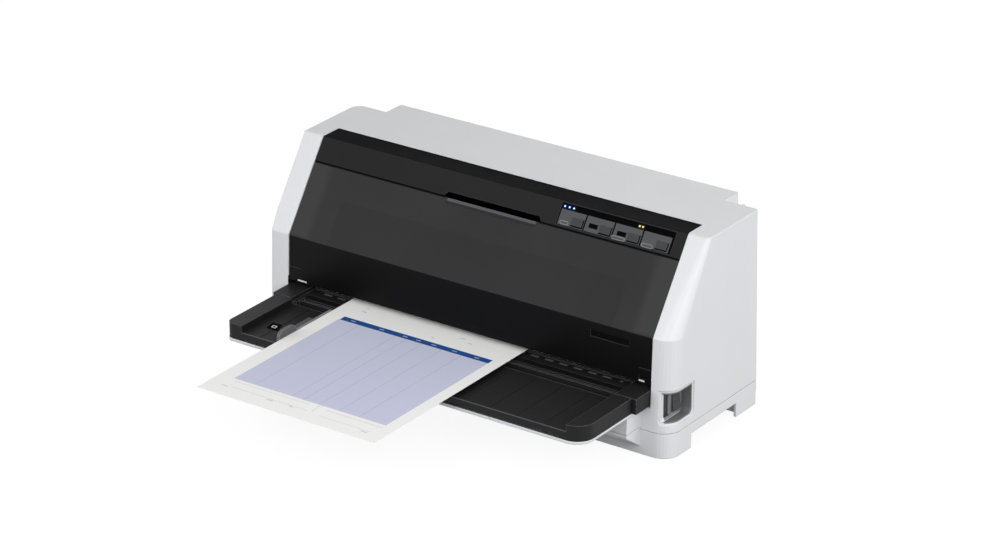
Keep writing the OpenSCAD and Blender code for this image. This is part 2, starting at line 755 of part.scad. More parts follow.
wheel_radius = wheel_pins * pin_pitch / 360 * 57.29578;
tractor_axis = [tractor_depth, sheet_height - gap - wheel_radius];
// Point at distance ra from a and rb from b, on the upper side
function mesh_point(a, b, ra, rb) = let (d = norm(b - a), along = (ra * ra - rb * rb + d * d) / (2 * d),
    up = sqrt(max(0, ra * ra - along * along)), u = (b - a) / d) a + along * u + up * [-u[1], u[0]];
function direction(a, b) = atan2(b[1] - a[1], b[0] - a[0]);
// Turn of a gear that puts a gap where the tooth of its neighbour points
function mesh_turn(turn, teeth, next_teeth, angle) =
    angle + 180 - 180 / next_teeth + (angle - turn) * teeth / next_teeth;
transfer_axis = mesh_point(rear_axis, tractor_axis, gear_module * (roller_teeth + transfer_teeth) / 2,
    gear_module * (transfer_teeth + tractor_teeth) / 2);
transfer_radius = gear_module * transfer_teeth / 2;
front_turn = mesh_turn(0, middle_teeth, roller_teeth, 180);
rear_turn = mesh_turn(0, middle_teeth, roller_teeth, 0);
pinion_turn = mesh_turn(0, middle_teeth, pinion_teeth, pinion_angle);
transfer_turn = mesh_turn(rear_turn, roller_teeth, transfer_teeth, direction(rear_axis, transfer_axis));
tractor_turn = mesh_turn(transfer_turn, transfer_teeth, tractor_teeth,
    direction(transfer_axis, tractor_axis));

// Involute spur gear in the Y-Z plane around the point p, from x0 to x1
pressure_angle = 20;
tooth_play = 0.12;
function involute(angle) = tan(angle) * 57.29578 - angle;
function flank(teeth, r) = let (base = gear_module * teeth / 2 * cos(pressure_angle))
    90 / teeth - tooth_play / (gear_module * teeth / 2) * 57.29578 + involute(pressure_angle)
    - involute(acos(min(1, base / max(r, base))));
module spur_gear(teeth, x0, x1, p, turn, bore) {
    pitch = gear_module * teeth / 2;
    root = pitch - 1.2 * gear_module;
    radii = [root, max(root + 0.1, pitch * cos(pressure_angle)), pitch, pitch + 0.5 * gear_module,
        pitch + 0.85 * gear_module];
    difference() {
        side_prism(x0, x1) translate(p) rotate(turn) polygon([for (i = [0:teeth - 1], side = [-1, 1],
            k = [0:4]) let (r = radii[side < 0 ? k : 4 - k], a = 360 * i / teeth + side * flank(teeth, r))
                r * [cos(a), sin(a)]]);
        rod(x0 - 1, x1 + 1, p, bore);
        if (root > 15) for (x = [x0 - 1, x1 - 1.5]) difference() {
            rod(x, x + 2.5, p, root - 2.5);
            rod(x - 1, x + 4, p, bore + 4);
        }
    }
}

module base_plate() color(steel) placed() difference() {
    block([-frame_half_width - 14, 14, floor_top], [frame_half_width + 14, case_depth - 4, chassis_top]);
    for (i = [-3:3]) translate([50 * i, 110, floor_top - 1]) cylinder(r = 8, h = 5);
}

module side_frames() color(steel) placed() {
    mirrored() difference() {
        union() {
            side_prism(frame_half_width, frame_half_width + frame_thickness)
                polygon([[front_frame_y, chassis_top],
                [case_depth - 4, chassis_top], [case_depth - 4, 148], [print_line + 10, 148],
                    [front_frame_y, 108]]);
            block([frame_half_width, front_frame_y + 10, chassis_top],
                [frame_half_width + 12, case_depth - 14, chassis_top + 1.5]);
        }
        for (axis = [front_axis, rear_axis])
            rod(frame_half_width - 1, frame_half_width + 4, axis, roller_shaft_radius + running);
        for (axis = [front_pinch_axis, rear_pinch_axis]) rod(frame_half_width - 1, frame_half_width + 4, axis,
            pinch_shaft_radius + running);
        rod(frame_half_width - 1, frame_half_width + 4, shaft_axis, shaft_radius);
        translate([frame_half_width + 1, pinion_axis[0], pinion_axis[1]]) rotate([0, 90, 0])
            cylinder(r = 6, h = 6, center = true);
    }
    for (axis = [middle_axis, transfer_axis])
        rod(-gear_x - 1, -frame_half_width - frame_thickness, axis, stud_radius);
    block([-frame_half_width, belt_y - 12, belt_z - 6], [-pulley_offset + 8, belt_y + 12, belt_z - 4]);
    translate([-pulley_offset, belt_y, belt_z - 4]) cylinder(r = 2, h = 14);
    difference() {
        block([pulley_offset - 18, belt_y - 17, belt_z - 6], [frame_half_width, belt_y + 17, belt_z - 4]);
        translate([pulley_offset, belt_y, belt_z - 7]) cylinder(r = motor_shaft_radius, h = 4);
    }
}

module carriage_shaft() color([0.8, 0.8, 0.82]) placed()
    rod(-frame_half_width - 4, frame_half_width + 4, shaft_axis, shaft_radius);

rail_z = 100;
module front_rail() color(steel) placed() side_prism(-frame_half_width, frame_half_width)
    polygon([[38.5, rail_z - 12], [40, rail_z - 12], [40, rail_z], [46, rail_z], [46, rail_z + 1.5],
        [38.5, rail_z + 1.5]]);

platen_top = 65.4;
module platen_bar() color(steel) placed() {
    block([-frame_half_width, print_line - 5, 54], [frame_half_width, print_line + 5, guide_top - 2]);
    block([-frame_half_width + 11, print_line - 5, 54], [frame_half_width - 11, print_line + 5, platen_top]);
}
module platen_strip() color([0.2, 0.2, 0.2]) placed()
    block([-frame_half_width + 16, print_line - 4, platen_top],
    [frame_half_width - 16, print_line + 4, sheet_height - gap]);

guide_top = sheet_height - 0.7;
module paper_guide() color(steel) placed() difference() {
    union() {
        block([-frame_half_width, tray_inside + gap, guide_top - 1.5],
            [frame_half_width, rear_axis[0] + 11, guide_top]);
        block([-paper_slot_half, tray_inside + gap, guide_top - 1.5],
            [paper_slot_half, case_depth - 1, guide_top]);
    }
    for (y = [front_axis[0], rear_axis[0]])
        block([-160, y - roller_radius - gap, guide_top - 3],
        [160, y + roller_radius + gap, guide_top + 1]);
    block([-frame_half_width + 10, print_line - 5.5, guide_top - 3],
        [frame_half_width - 10, print_line + 5.5, guide_top + 1]);
}

roller_x = [for (i = [-3:3]) i * 46];
module feed_roller(axis, turn) color([0.25, 0.25, 0.25]) placed() {
    rod(-gear_x - 1, frame_half_width + 4, axis, roller_shaft_radius);
    for (x = roller_x) rod(x - 14, x + 14, axis, roller_radius);
    spur_gear(roller_teeth, -gear_x, -gear_x + gear_width, axis, turn, roller_shaft_radius);
}
module front_feed_roller() feed_roller(front_axis, front_turn);
module rear_feed_roller() feed_roller(rear_axis, rear_turn);

module pinch_roller(axis) color([0.3, 0.3, 0.3]) placed() {
    rod(-frame_half_width - 4, frame_half_width + 4, axis, pinch_shaft_radius);
    for (x = roller_x) rod(x - 10, x + 10, axis, pinch_radius);
}
module front_pinch_roller() pinch_roller(front_pinch_axis);
module rear_pinch_roller() pinch_roller(rear_pinch_axis);

module middle_gear() color([0.9, 0.9, 0.85]) placed()
    spur_gear(middle_teeth, -gear_x, -gear_x + gear_width, middle_axis, 0, stud_radius + running);
module transfer_gear() color([0.9, 0.9, 0.85]) placed()
    spur_gear(transfer_teeth, -gear_x, -gear_x + gear_width, transfer_axis, transfer_turn,
        stud_radius + running);
module motor_pinion() color([0.8, 0.7, 0.4]) placed() {
    spur_gear(pinion_teeth, -gear_x, -gear_x + gear_width, pinion_axis, pinion_turn, 2);
    rod(-gear_x, -frame_half_width + 6, pinion_axis, 2);
}
module feed_motor() color([0.3, 0.3, 0.32]) placed() difference() {
    union() {
        rod(-frame_half_width, -frame_half_width + 30, pinion_axis, motor_radius);
        rod(-frame_half_width - frame_thickness - 0.5, -frame_half_width, pinion_axis, 5.9);
    }
    rod(-frame_half_width - 5, -frame_half_width + 6.5, pinion_axis, 2 + running);
}

/* Print head and ribbon */

carriage_half = carriage_width / 2;
head_half = 20;
carriage_low = sheet_height + 17;
carriage_high = carriage_low + 20;
nose_tip = sheet_height + 2.1;
belt_y = print_line + 65;
belt_z = sheet_height + 16;
belt_thickness = 1.2;
belt_height = 6;
motor_shaft_radius = 1.5;

module carriage() color([0.2, 0.2, 0.22]) placed() difference() {
    union() {
        side_prism(-carriage_half, carriage_half)
            polygon([[41, rail_z + 1.5 + gap], [46.4, rail_z + 1.5 + gap],
            [46.4, carriage_low], [shaft_axis[0] + 12, carriage_low], [shaft_axis[0] + 14, carriage_low + 4],
            [shaft_axis[0] + 14, carriage_high - 4], [shaft_axis[0] + 8, carriage_high + 4],
                [print_line + 16, carriage_high + 4],
            [print_line + 14, carriage_high + 6], [41, carriage_high + 6]]);
        block([-7, shaft_axis[0] + 13, belt_z - 1],
            [7, belt_y - pulley_radius + 4, belt_z + belt_height + 3]);
    }
    block([-head_half - gap / 2, print_line - 14, carriage_low - 1],
        [head_half + gap / 2, print_line + 14, carriage_high + 8]);
    rod(-carriage_half - 1, carriage_half + 1, shaft_axis, shaft_radius + running);
    block([-8, belt_y - pulley_radius - belt_thickness - 2 * gap, belt_z - gap - 2],
        [8, belt_y - pulley_radius + 2 * gap, belt_z + belt_height + gap]);
}

fin_count = 7;
module print_head() color([0.55, 0.56, 0.58]) placed() translate([0, print_line, 0]) {
    hull() {
        translate([-4, -2.5, nose_tip]) cube([8, 5, 1]);
        translate([-13, -9, carriage_low - 1]) cube([26, 18, 1]);
    }
    block([-head_half, -14 + gap, carriage_low], [head_half, 14 - gap, carriage_high + 6]);
    block([-head_half - 8, -16, carriage_high + 6], [head_half + 8, 14, carriage_high + 9]);
    translate([0, 0, carriage_high + 9]) cylinder(r = 11, h = 4 * fin_count);
    for (i = [0:fin_count - 1]) translate([-22, -16, carriage_high + 11 + 4 * i]) linear_extrude(1.6)
        rounded_rect([44, 32], 6);
}

module ribbon_mask() color(steel) placed() translate([0, print_line, 0]) difference() {
    union() {
        block([-24, -11, sheet_height + 1], [24, 11, sheet_height + 1.3]);
        for (y = [-11, 10.2]) block([-16, y, sheet_height + 1], [16, y + 0.8, carriage_low]);
    }
    block([-6, -2, sheet_height], [6, 2, sheet_height + 3]);
}

arm_inner = pulley_offset + 5;
cartridge_low = sheet_height + 45;
module ribbon_cartridge() color([0.12, 0.12, 0.13]) placed() {
    difference() {
        union() {
            block([-frame_half_width + gap, print_line + 47, cartridge_low],
                [frame_half_width - gap, print_line + 80, cartridge_low + 22]);
            mirrored() side_prism(arm_inner, frame_half_width - gap)
                polygon([[print_line + 47, cartridge_low + 22],
                [print_line - 4, cartridge_low + 22], [print_line - 12, cartridge_low + 12],
                    [print_line - 8, nose_tip + 2],
                [print_line + 8, nose_tip + 2], [print_line + 12, cartridge_low],
                    [print_line + 47, cartridge_low]]);
        }
        translate([knob_axis[0], knob_axis[1], cartridge_low + 8]) cylinder(r = 3 + running, h = 20);
    }
    block([-arm_inner - 8, print_line - 6.5, sheet_height + 1.6],
        [arm_inner + 8, print_line + 6.5, sheet_height + 1.8]);
    mirrored() block([arm_inner + 7.8, print_line - 6.5, sheet_height + 1.6],
        [arm_inner + 8, print_line + 6.5, nose_tip + 2]);
}

knob_axis = [-frame_half_width + 46, print_line + 63];
module ribbon_knob() color([0.2, 0.35, 0.6]) placed() translate([knob_axis[0], knob_axis[1], 0]) {
    translate([0, 0, cartridge_low + 9]) cylinder(r = 3, h = 14);
    translate([0, 0, cartridge_low + 22 + gap]) difference() {
        cylinder(r = 9, h = 9);
        for (i = [0:11]) rotate(30 * i) translate([9.4, 0, -1]) cylinder(r = 1, h = 12, $fn = 24);
    }
}

/* Carriage drive */

module belt_loop(r) {
    for (side = [-1, 1]) translate([side * pulley_offset, 0]) circle(r);
    square([2 * pulley_offset, 2 * r], center = true);
}
module drive_belt() color([0.1, 0.1, 0.1]) placed() translate([0, belt_y, belt_z]) linear_extrude(belt_height)
    difference() {
        belt_loop(pulley_radius + belt_thickness);
        belt_loop(pulley_radius + running);
    }

module belt_pulley(x, bore) color([0.85, 0.85, 0.8]) placed() translate([x, belt_y, belt_z]) difference() {
    union() {
        translate([0, 0, -1.5]) cylinder(r = pulley_radius + 2, h = 1.2);
        translate([0, 0, -gap - eps]) cylinder(r = pulley_radius, h = belt_height + 2 * (gap + eps));
        translate([0, 0, belt_height + gap]) cylinder(r = pulley_radius + 2, h = 1.2);
    }
    translate([0, 0, -3]) cylinder(r = bore, h = belt_height + 8);
}
module drive_pulley() belt_pulley(pulley_offset, motor_shaft_radius + running);
module idler_pulley() belt_pulley(-pulley_offset, 2 + running);

module carriage_motor() color([0.3, 0.3, 0.32]) placed() translate([pulley_offset, belt_y, 0]) {
    translate([0, 0, belt_z - 44]) cylinder(r = motor_radius, h = 38);
    translate([0, 0, belt_z - 6]) cylinder(r = motor_shaft_radius, h = 14);
}

/* Electronics */

board_right = hood_half_width - 12;
board_width = 180;
port_sizes = [[board_right - 150, 66, 14], [board_right - 68, 13, 12], [board_right - 44, 34, 22]];
board_y = case_depth + hood_depth - wall - 14;
module main_board() color([0.12, 0.35, 0.2]) placed() {
    block([board_right - board_width, board_y, hood_bottom + 5],
        [board_right, board_y + board_thickness, case_height - 12]);
    block([board_right - 130, board_y - 4, 150], [board_right - 90, board_y + eps, 180]);
    for (x = [board_right - board_width + 6, board_right - 6], z = [hood_bottom + 12, case_height - 20])
        translate([x, board_y + eps, z]) rotate([-90, 0, 0])
        cylinder(r = 3, h = case_depth + hood_depth - wall - board_y - eps);
}

// Parallel socket, serial bus socket and the cover of the option slot
module interface_ports() color([0.3, 0.3, 0.3]) placed() for (port = port_sizes) difference() {
    block([port[0], board_y + board_thickness, port_z - port[2] / 2],
        [port[0] + port[1], case_depth + hood_depth, port_z + port[2] / 2]);
    block([port[0] + 2, case_depth + hood_depth - 8, port_z - port[2] / 2 + 2],
        [port[0] + port[1] - 2, case_depth + hood_depth + 1, port_z + port[2] / 2 - 2]);
}

supply_size = [89, 78, 25];
vent_pitch = 7;
vent_width = 3;
module power_supply() color(steel) placed()
    translate([frame_half_width - 2 - supply_size[0], 22, chassis_top])
    difference() {
    cube(supply_size);
    for (i = [1:10]) translate([vent_pitch * i, 8, supply_size[2] - 5])
        cube([vent_width, supply_size[1] - 16, 6]);
}

module ac_inlet() color([0.1, 0.1, 0.1]) placed() difference() {
    block([inlet_x - 14, rear_y(inlet_z) - 22, inlet_z - 12], [inlet_x + 14, rear_y(inlet_z), inlet_z + 12]);
    block([inlet_x - 11.5, rear_y(inlet_z) - 16, inlet_z - 8],
        [inlet_x + 11.5, rear_y(inlet_z) + 1, inlet_z + 8]);
}

/* Rear tractor */

tractor_plates = [-frame_half_width - 8, paper_slot_half + 6];
bar_axis = [tractor_axis[0] + 43, tractor_axis[1]];
wheel_width = 8;
tractor_home = [sheet_left + 3, sheet_left + 3 + 245];
pin_height = 3;
lid_z = sheet_height + pin_height + 0.6;
lid_hinge = wheel_width / 2 + 10.5;

module tractor_frame() color([0.2, 0.2, 0.21]) placed() {
    for (x = tractor_plates) difference() {
        side_prism(x, x + 2.5) polygon([[rear_y(34), 34], [tractor_reach - 14, 34], [tractor_reach, 44],
            [tractor_reach, 56],
            [tractor_reach - 12, 66], [rear_y(66), 66]]);
        rod(x - 1, x + 4, tractor_axis, roller_shaft_radius + running);
    }
    rod(tractor_plates[0], tractor_plates[1] + 2.5, bar_axis, bar_radius);
    block([tractor_plates[0] + 2.5, tractor_reach - 18, 34], [tractor_plates[1], tractor_reach - 6 - 9, 37]);
}

module tractor_shaft() color(steel) placed() {
    rod(-gear_x - 1, tractor_plates[0] + 3, tractor_axis, roller_shaft_radius);
    rod(tractor_plates[1] - 1, tractor_plates[1] + 4, tractor_axis, roller_shaft_radius);
    translate([tractor_plates[0] + 3, tractor_axis[0] - square_side / 2, tractor_axis[1] - square_side / 2])
        cube([tractor_plates[1] - tractor_plates[0] - 4, square_side, square_side]);
    spur_gear(tractor_teeth, -gear_x, -gear_x + gear_width, tractor_axis, tractor_turn, roller_shaft_radius);
}

// Tractor body outside the pin wheel at x; side is -1 for the left one
module tractor_body(x, side) color([0.25, 0.25, 0.26]) placed() difference() {
    translate([x, 0, 0]) mirror([side < 0 ? 1 : 0, 0, 0]) union() {
        side_prism(wheel_width / 2 + gap, wheel_width / 2 + 12) polygon([[tractor_axis[0] - 14, guide_top],
            [bar_axis[0] + 8, guide_top], [bar_axis[0] + 10, 56], [bar_axis[0] + 6, 42],
                [tractor_axis[0] + 6, 36],
            [tractor_axis[0] - 8, 38], [tractor_axis[0] - 15, 50]]);
        block([lid_hinge - 1.5, tractor_axis[0] - 10, guide_top - 1],
            [lid_hinge + 1.5, tractor_axis[0] + 12, lid_z - 0.5]);
        translate([lid_hinge, tractor_axis[0] - 10, lid_z - 0.5]) rotate([-90, 0, 0]) cylinder(r = 2, h = 22);
    }
    rod(x - 30, x + 30, tractor_axis, square_side * 0.708 + gap);
    rod(x - 30, x + 30, bar_axis, bar_radius + running);
    translate([x + side * lid_hinge, tractor_axis[0] - 20, lid_z - 0.5]) rotate([-90, 0, 0])
        cylinder(r = 1 + running, h = 40);
}
module left_tractor() tractor_body(tractor_home[0], -1);
module right_tractor() tractor_body(tractor_home[1], 1);

module pin_wheel(x) color([0.85, 0.85, 0.82]) placed() difference() {
    union() {
        rod(x - wheel_width / 2, x + wheel_width / 2, tractor_axis, wheel_radius - 0.4);
        for (i = [0:wheel_pins - 1]) translate([x, tractor_axis[0], tractor_axis[1]])
            rotate([360 * i / wheel_pins, 0, 0]) {
            cylinder(r = 1.9, h = wheel_radius + 1);
            translate([0, 0, wheel_radius + 1]) cylinder(r1 = 1.9, r2 = 1, h = pin_height - 1);
        }
    }
    translate([x - wheel_width, tractor_axis[0] - square_side / 2 - running,
        tractor_axis[1] - square_side / 2 - running])
        cube([2 * wheel_width, square_side + 2 * running, square_side + 2 * running]);
}
module left_pin_wheel() pin_wheel(tractor_home[0]);
module right_pin_wheel() pin_wheel(tractor_home[1]);

module tractor_lid(x, side) color([0.15, 0.15, 0.16]) placed() translate([x, 0, 0])
    mirror([side < 0 ? 1 : 0, 0, 0])
    difference() {
    union() {
        block([-wheel_width / 2 - 4, tractor_axis[0] - 12, lid_z],
            [lid_hinge - 2.5, tractor_axis[0] + 14, lid_z + 2]);
        for (y = [tractor_axis[0] - 12, tractor_axis[0] + 12.4]) {
            block([lid_hinge - 4, y, lid_z], [lid_hinge, y + 1.6, lid_z + 1.5]);
            translate([lid_hinge, y, lid_z - 0.5]) rotate([-90, 0, 0]) cylinder(r = 2, h = 1.6);
        }
        translate([lid_hinge, tractor_axis[0] - 12, lid_z - 0.5]) rotate([-90, 0, 0]) cylinder(r = 1, h = 26);
    }
    block([-2.6, tractor_axis[0] - 11, lid_z - 1], [2.6, tractor_axis[0] + 13, lid_z + 3]);
}
module left_tractor_lid() tractor_lid(tractor_home[0], -1);
module right_tractor_lid() tractor_lid(tractor_home[1], 1);

module lock_lever(x, side) color([0.7, 0.7, 0.72]) placed() difference() {
    union() {
        rod(x + side * (wheel_width / 2 + 14.3) - 2, x + side * (wheel_width / 2 + 14.3) + 2, bar_axis, 7.5);
        translate([x + side * (wheel_width / 2 + 14.3) - 2, bar_axis[0] - 3, bar_axis[1]]) cube([4, 6, 26]);
    }
    rod(x - 30, x + 30, bar_axis, bar_radius + running);
}
module left_lock_lever() lock_lever(tractor_home[0], -1);
module right_lock_lever() lock_lever(tractor_home[1], 1);

lower_case();
upper_case();
control_band();
control_plate();
panel_board();
status_lights();
key_1();
key_2();
key_3();
key_4();
front_cover();
hinge_pins();
front_tray();
tray_under_plate();
grounding_bar();
edge_guide();
paper_sheet();
switch_bezel();
switch_body();
power_rocker();
rubber_feet();
case_screws();
base_plate();
side_frames();
carriage_shaft();
front_rail();
platen_bar();
platen_strip();
paper_guide();
carriage();
print_head();
ribbon_mask();
ribbon_cartridge();
ribbon_knob();
drive_belt();
drive_pulley();
idler_pulley();
carriage_motor();
front_feed_roller();
rear_feed_roller();
front_pinch_roller();
rear_pinch_roller();
middle_gear();
transfer_gear();
feed_motor();
motor_pinion();
main_board();
interface_ports();
power_supply();
ac_inlet();
tractor_frame();
tractor_shaft();
left_tractor();
right_tractor();
left_pin_wheel();
right_pin_wheel();
left_tractor_lid();
right_tractor_lid();
left_lock_lever();
right_lock_lever();
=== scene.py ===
"""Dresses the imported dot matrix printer: finishes, thin printed layers, studio light and camera.

Shapes are laid out in millimetres from the casing's fold, and at() turns such a point into metres
of the part's frame. What a finish paints by place is given in metres of that frame.
"""

import json
import math

import bmesh
import bpy
from mathutils import Matrix, Vector


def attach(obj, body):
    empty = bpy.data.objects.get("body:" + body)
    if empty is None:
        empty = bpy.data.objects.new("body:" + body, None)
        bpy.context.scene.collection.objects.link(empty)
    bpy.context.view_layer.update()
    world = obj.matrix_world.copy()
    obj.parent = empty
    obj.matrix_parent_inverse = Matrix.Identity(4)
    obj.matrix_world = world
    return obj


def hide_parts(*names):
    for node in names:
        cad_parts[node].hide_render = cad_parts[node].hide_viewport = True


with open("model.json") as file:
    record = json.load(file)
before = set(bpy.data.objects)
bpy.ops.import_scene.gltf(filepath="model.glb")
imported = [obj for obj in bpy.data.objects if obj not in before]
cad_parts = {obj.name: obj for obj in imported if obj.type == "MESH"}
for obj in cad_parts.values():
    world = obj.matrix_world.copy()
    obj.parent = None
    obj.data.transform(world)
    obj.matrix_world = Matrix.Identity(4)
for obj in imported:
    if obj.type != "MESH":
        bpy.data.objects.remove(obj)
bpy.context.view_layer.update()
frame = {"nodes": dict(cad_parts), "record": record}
nodes = frame["nodes"]

MM = 0.001
CASE_Y = -10  # the casing's fold lies this far from the part's origin, in mm
CASE_HEIGHT = 208.4
FOLD_HEIGHT = 121.7
FRONT_LEAN = 5.5  # how far the front reaches forward at the floor
SLOPE_DEPTH = 59.9
SLOPE = math.atan2(SLOPE_DEPTH, CASE_HEIGHT - FOLD_HEIGHT)
RISE = Vector((0, math.sin(SLOPE), math.cos(SLOPE)))
OUT = Vector((0, -math.cos(SLOPE), math.sin(SLOPE)))
BAND_EDGE = 27.5  # the band ends this far down the slope, in mm, where the cover begins
LIGHTS = (77.7, 83.0, 88.1, 163.3, 167.0)  # the light guides' places across the slope
LIGHT_ROW = 5.6  # and how far down the slope they stand
FIRST_AMBER = 120  # lights beyond this place are amber, and those before it blue


def at(x, y, z):
    """Point of the casing's layout, in mm, as a point of the part in metres."""
    return Vector((x, y + CASE_Y, z)) * MM


def front_at(z):
    """Depth of the casing's leaning front below the fold, at height z, both in mm."""
    return -FRONT_LEAN * (1 - z / FOLD_HEIGHT)


def on_slope(x, s, out):
    """Point s mm down the sloping front from the crease, out mm above its face."""
    return at(x, SLOPE_DEPTH, CASE_HEIGHT) + (OUT * out - RISE * s) * MM


# ---------------------------------------------------------------- materials


def rgb(*levels):
    """sRGB levels from 0 to 255 as a linear colour."""
    linear = [(v / 255 / 12.92 if v <= 10 else ((v / 255 + 0.055) / 1.055) ** 2.4) for v in levels]
    return (*linear, 1)


def scaled(colour, factor):
    """The colour made lighter or darker, and never past white."""
    return (*(min(1, c * factor) for c in colour[:3]), 1)


MIX_INPUTS, MIX_OUTPUT = (0, 6, 7), 2  # the sockets of a Mix node that are in use for colours
EDGE_START, EDGE_FULL = 0.004, 0.12  # how far a rounded normal departs from the flat one at an edge
FINE_EDGE = 0.0003  # radius of the edges of metal, rubber and boards, in metres


class Nodes:
    """The node tree of a material or world, its owner, with short calls to add and join nodes."""

    def __init__(self, owner, output="ShaderNodeOutputMaterial"):
        self.owner = owner
        owner.use_nodes = True
        self.tree = owner.node_tree
        self.tree.nodes.clear()
        self.output = self.add(output)
        self.coords = self.add("ShaderNodeTexCoord").outputs["Object"]

    def add(self, kind, **values):
        """New node; values are its own settings, or else its sockets."""
        node = self.tree.nodes.new(kind)
        for key, value in values.items():
            if hasattr(node, key):
                setattr(node, key, value)
            else:
                self.feed(node.inputs[key.replace("_", " ")], value)
        return node

    def feed(self, socket, value):
        """Links a socket to another one, or sets it to a plain value."""
        if isinstance(value, bpy.types.NodeSocket):
            self.tree.links.new(value, socket)
        else:
            socket.default_value = value

    def math(self, operation, a, b=0.0):
        """Result of one math operation."""
        node = self.add("ShaderNodeMath", operation=operation)
        self.feed(node.inputs[0], a)
        self.feed(node.inputs[1], b)
        return node.outputs[0]

    def mix(self, factor, a, b):
        """Colour a where factor is 0, and b where it is 1."""
        node = self.add("ShaderNodeMix", data_type="RGBA")
        for index, value in zip(MIX_INPUTS, (factor, a, b)):
            self.feed(node.inputs[index], value)
        return node.outputs[MIX_OUTPUT]

    def paint(self, tint, layers):
        """Lays colours over the tint, each by its mask."""
        for mask, shade in layers:
            tint = self.mix(mask, tint, shade)
        return tint

    def remap(self, value, start, end, low, high, kind="LINEAR"):
        """Maps a value from start..end to low..high."""
        node = self.add("ShaderNodeMapRange", interpolation_type=kind)
        for key, number in zip(("From Min", "From Max", "To Min", "To Max"), (start, end, low, high)):
            node.inputs[key].default_value = number
        self.feed(node.inputs["Value"], value)
        return node.outputs["Result"]

    def spread(self, value, low, high, start=0.3, end=0.7):
        """Maps a noise value, which lies mostly within start..end, to low..high."""
        return self.remap(value, start, end, low, high)

    def ramp(self, value, start, end, low=0.0, high=1.0):
        """Smooth step from low to high while the value goes from start to end."""
        return self.remap(value, start, end, low, high, "SMOOTHSTEP")

    def noise(self, scale, detail, stretch=None, roughness=0.5):
        """Noise in the object's own coordinates, drawn out along an axis where stretch is below 1."""
        vector = self.coords
        if stretch:
            mapping = self.add("ShaderNodeMapping")
            mapping.inputs["Scale"].default_value = stretch
            self.feed(mapping.inputs["Vector"], vector)
            vector = mapping.outputs["Vector"]
        node = self.add("ShaderNodeTexNoise", Scale=scale, Detail=detail, Roughness=roughness)
        self.feed(node.inputs["Vector"], vector)
        return node.outputs["Fac"]

    def bevel(self, radius):
        """Normals that run round the object's edges, at the given radius in metres."""
        return self.add("ShaderNodeBevel", samples=6, Radius=radius).outputs["Normal"]

    def bump(self, height, distance, normal=None):
        """Relief of the given height in metres, over another normal where one is given."""
        node = self.add("ShaderNodeBump", Strength=1.0, Distance=distance)
        self.feed(node.inputs["Height"], height)
        if normal is not None:
            self.feed(node.inputs["Normal"], normal)
        return node.outputs["Normal"]

    def axis(self, name):
        """One object coordinate of the shaded point, in metres."""
        split = self.add("ShaderNodeSeparateXYZ")
        self.feed(split.inputs[0], self.coords)
        return split.outputs[name]

    def within(self, name, low, high, blur=0.0003):
        """1 where one object coordinate lies between two values in metres."""
        value = self.axis(name)
        return self.math("MULTIPLY", self.ramp(value, low, low + blur), self.ramp(value, high + blur, high))

    def edges(self, radius):
        """1 along the object's sharp edges and 0 on its flats."""
        flat = self.add("ShaderNodeNewGeometry").outputs["True Normal"]
        dot = self.add("ShaderNodeVectorMath", operation="DOT_PRODUCT")
        self.feed(dot.inputs[0], flat)
        self.feed(dot.inputs[1], self.bevel(radius))
        return self.ramp(self.math("SUBTRACT", 1.0, dot.outputs["Value"]), EDGE_START, EDGE_FULL)

    def from_crease(self, along_y, along_z):
        """How far, in metres, the shaded point lies from the casing's upper crease in one direction."""
        crease = at(0, SLOPE_DEPTH, CASE_HEIGHT)
        ahead = self.math("MULTIPLY", self.math("SUBTRACT", self.axis("Y"), crease.y), along_y)
        below = self.math("MULTIPLY", self.math("SUBTRACT", crease.z, self.axis("Z")), along_z)
        return self.math("ADD", ahead, below)

    def depth(self):
        """How far, in metres, the shaded point lies below the face of the sloping front."""
        return self.from_crease(math.cos(SLOPE), math.sin(SLOPE))

    def down_slope(self):
        """How far, in metres, the shaded point lies down the sloping front from the crease."""
        return self.from_crease(-math.sin(SLOPE), math.cos(SLOPE))

    def background_rays(self):
        """1 for the rays that show the background: straight, by gloss or through glass."""
        rays = self.add("ShaderNodeLightPath").outputs
        seen = self.math("MAXIMUM", rays["Is Camera Ray"], rays["Is Glossy Ray"])
        return self.math("MAXIMUM", seen, rays["Is Transmission Ray"])

    def shader(self, colour, rough, normal=None, metallic=0.0, **sockets):
        """Principled shader on the output; sockets are its plain values, with _ for spaces."""
        node = self.add("ShaderNodeBsdfPrincipled")
        self.feed(node.inputs["Base Color"], colour)
        self.feed(node.inputs["Roughness"], rough)
        self.feed(node.inputs["Metallic"], metallic)
        if normal is not None:
            self.feed(node.inputs["Normal"], normal)
        for key, value in sockets.items():
            self.feed(node.inputs[key.replace("_", " ")], value)
        self.feed(self.output.inputs["Surface"], node.outputs[0])
        return node


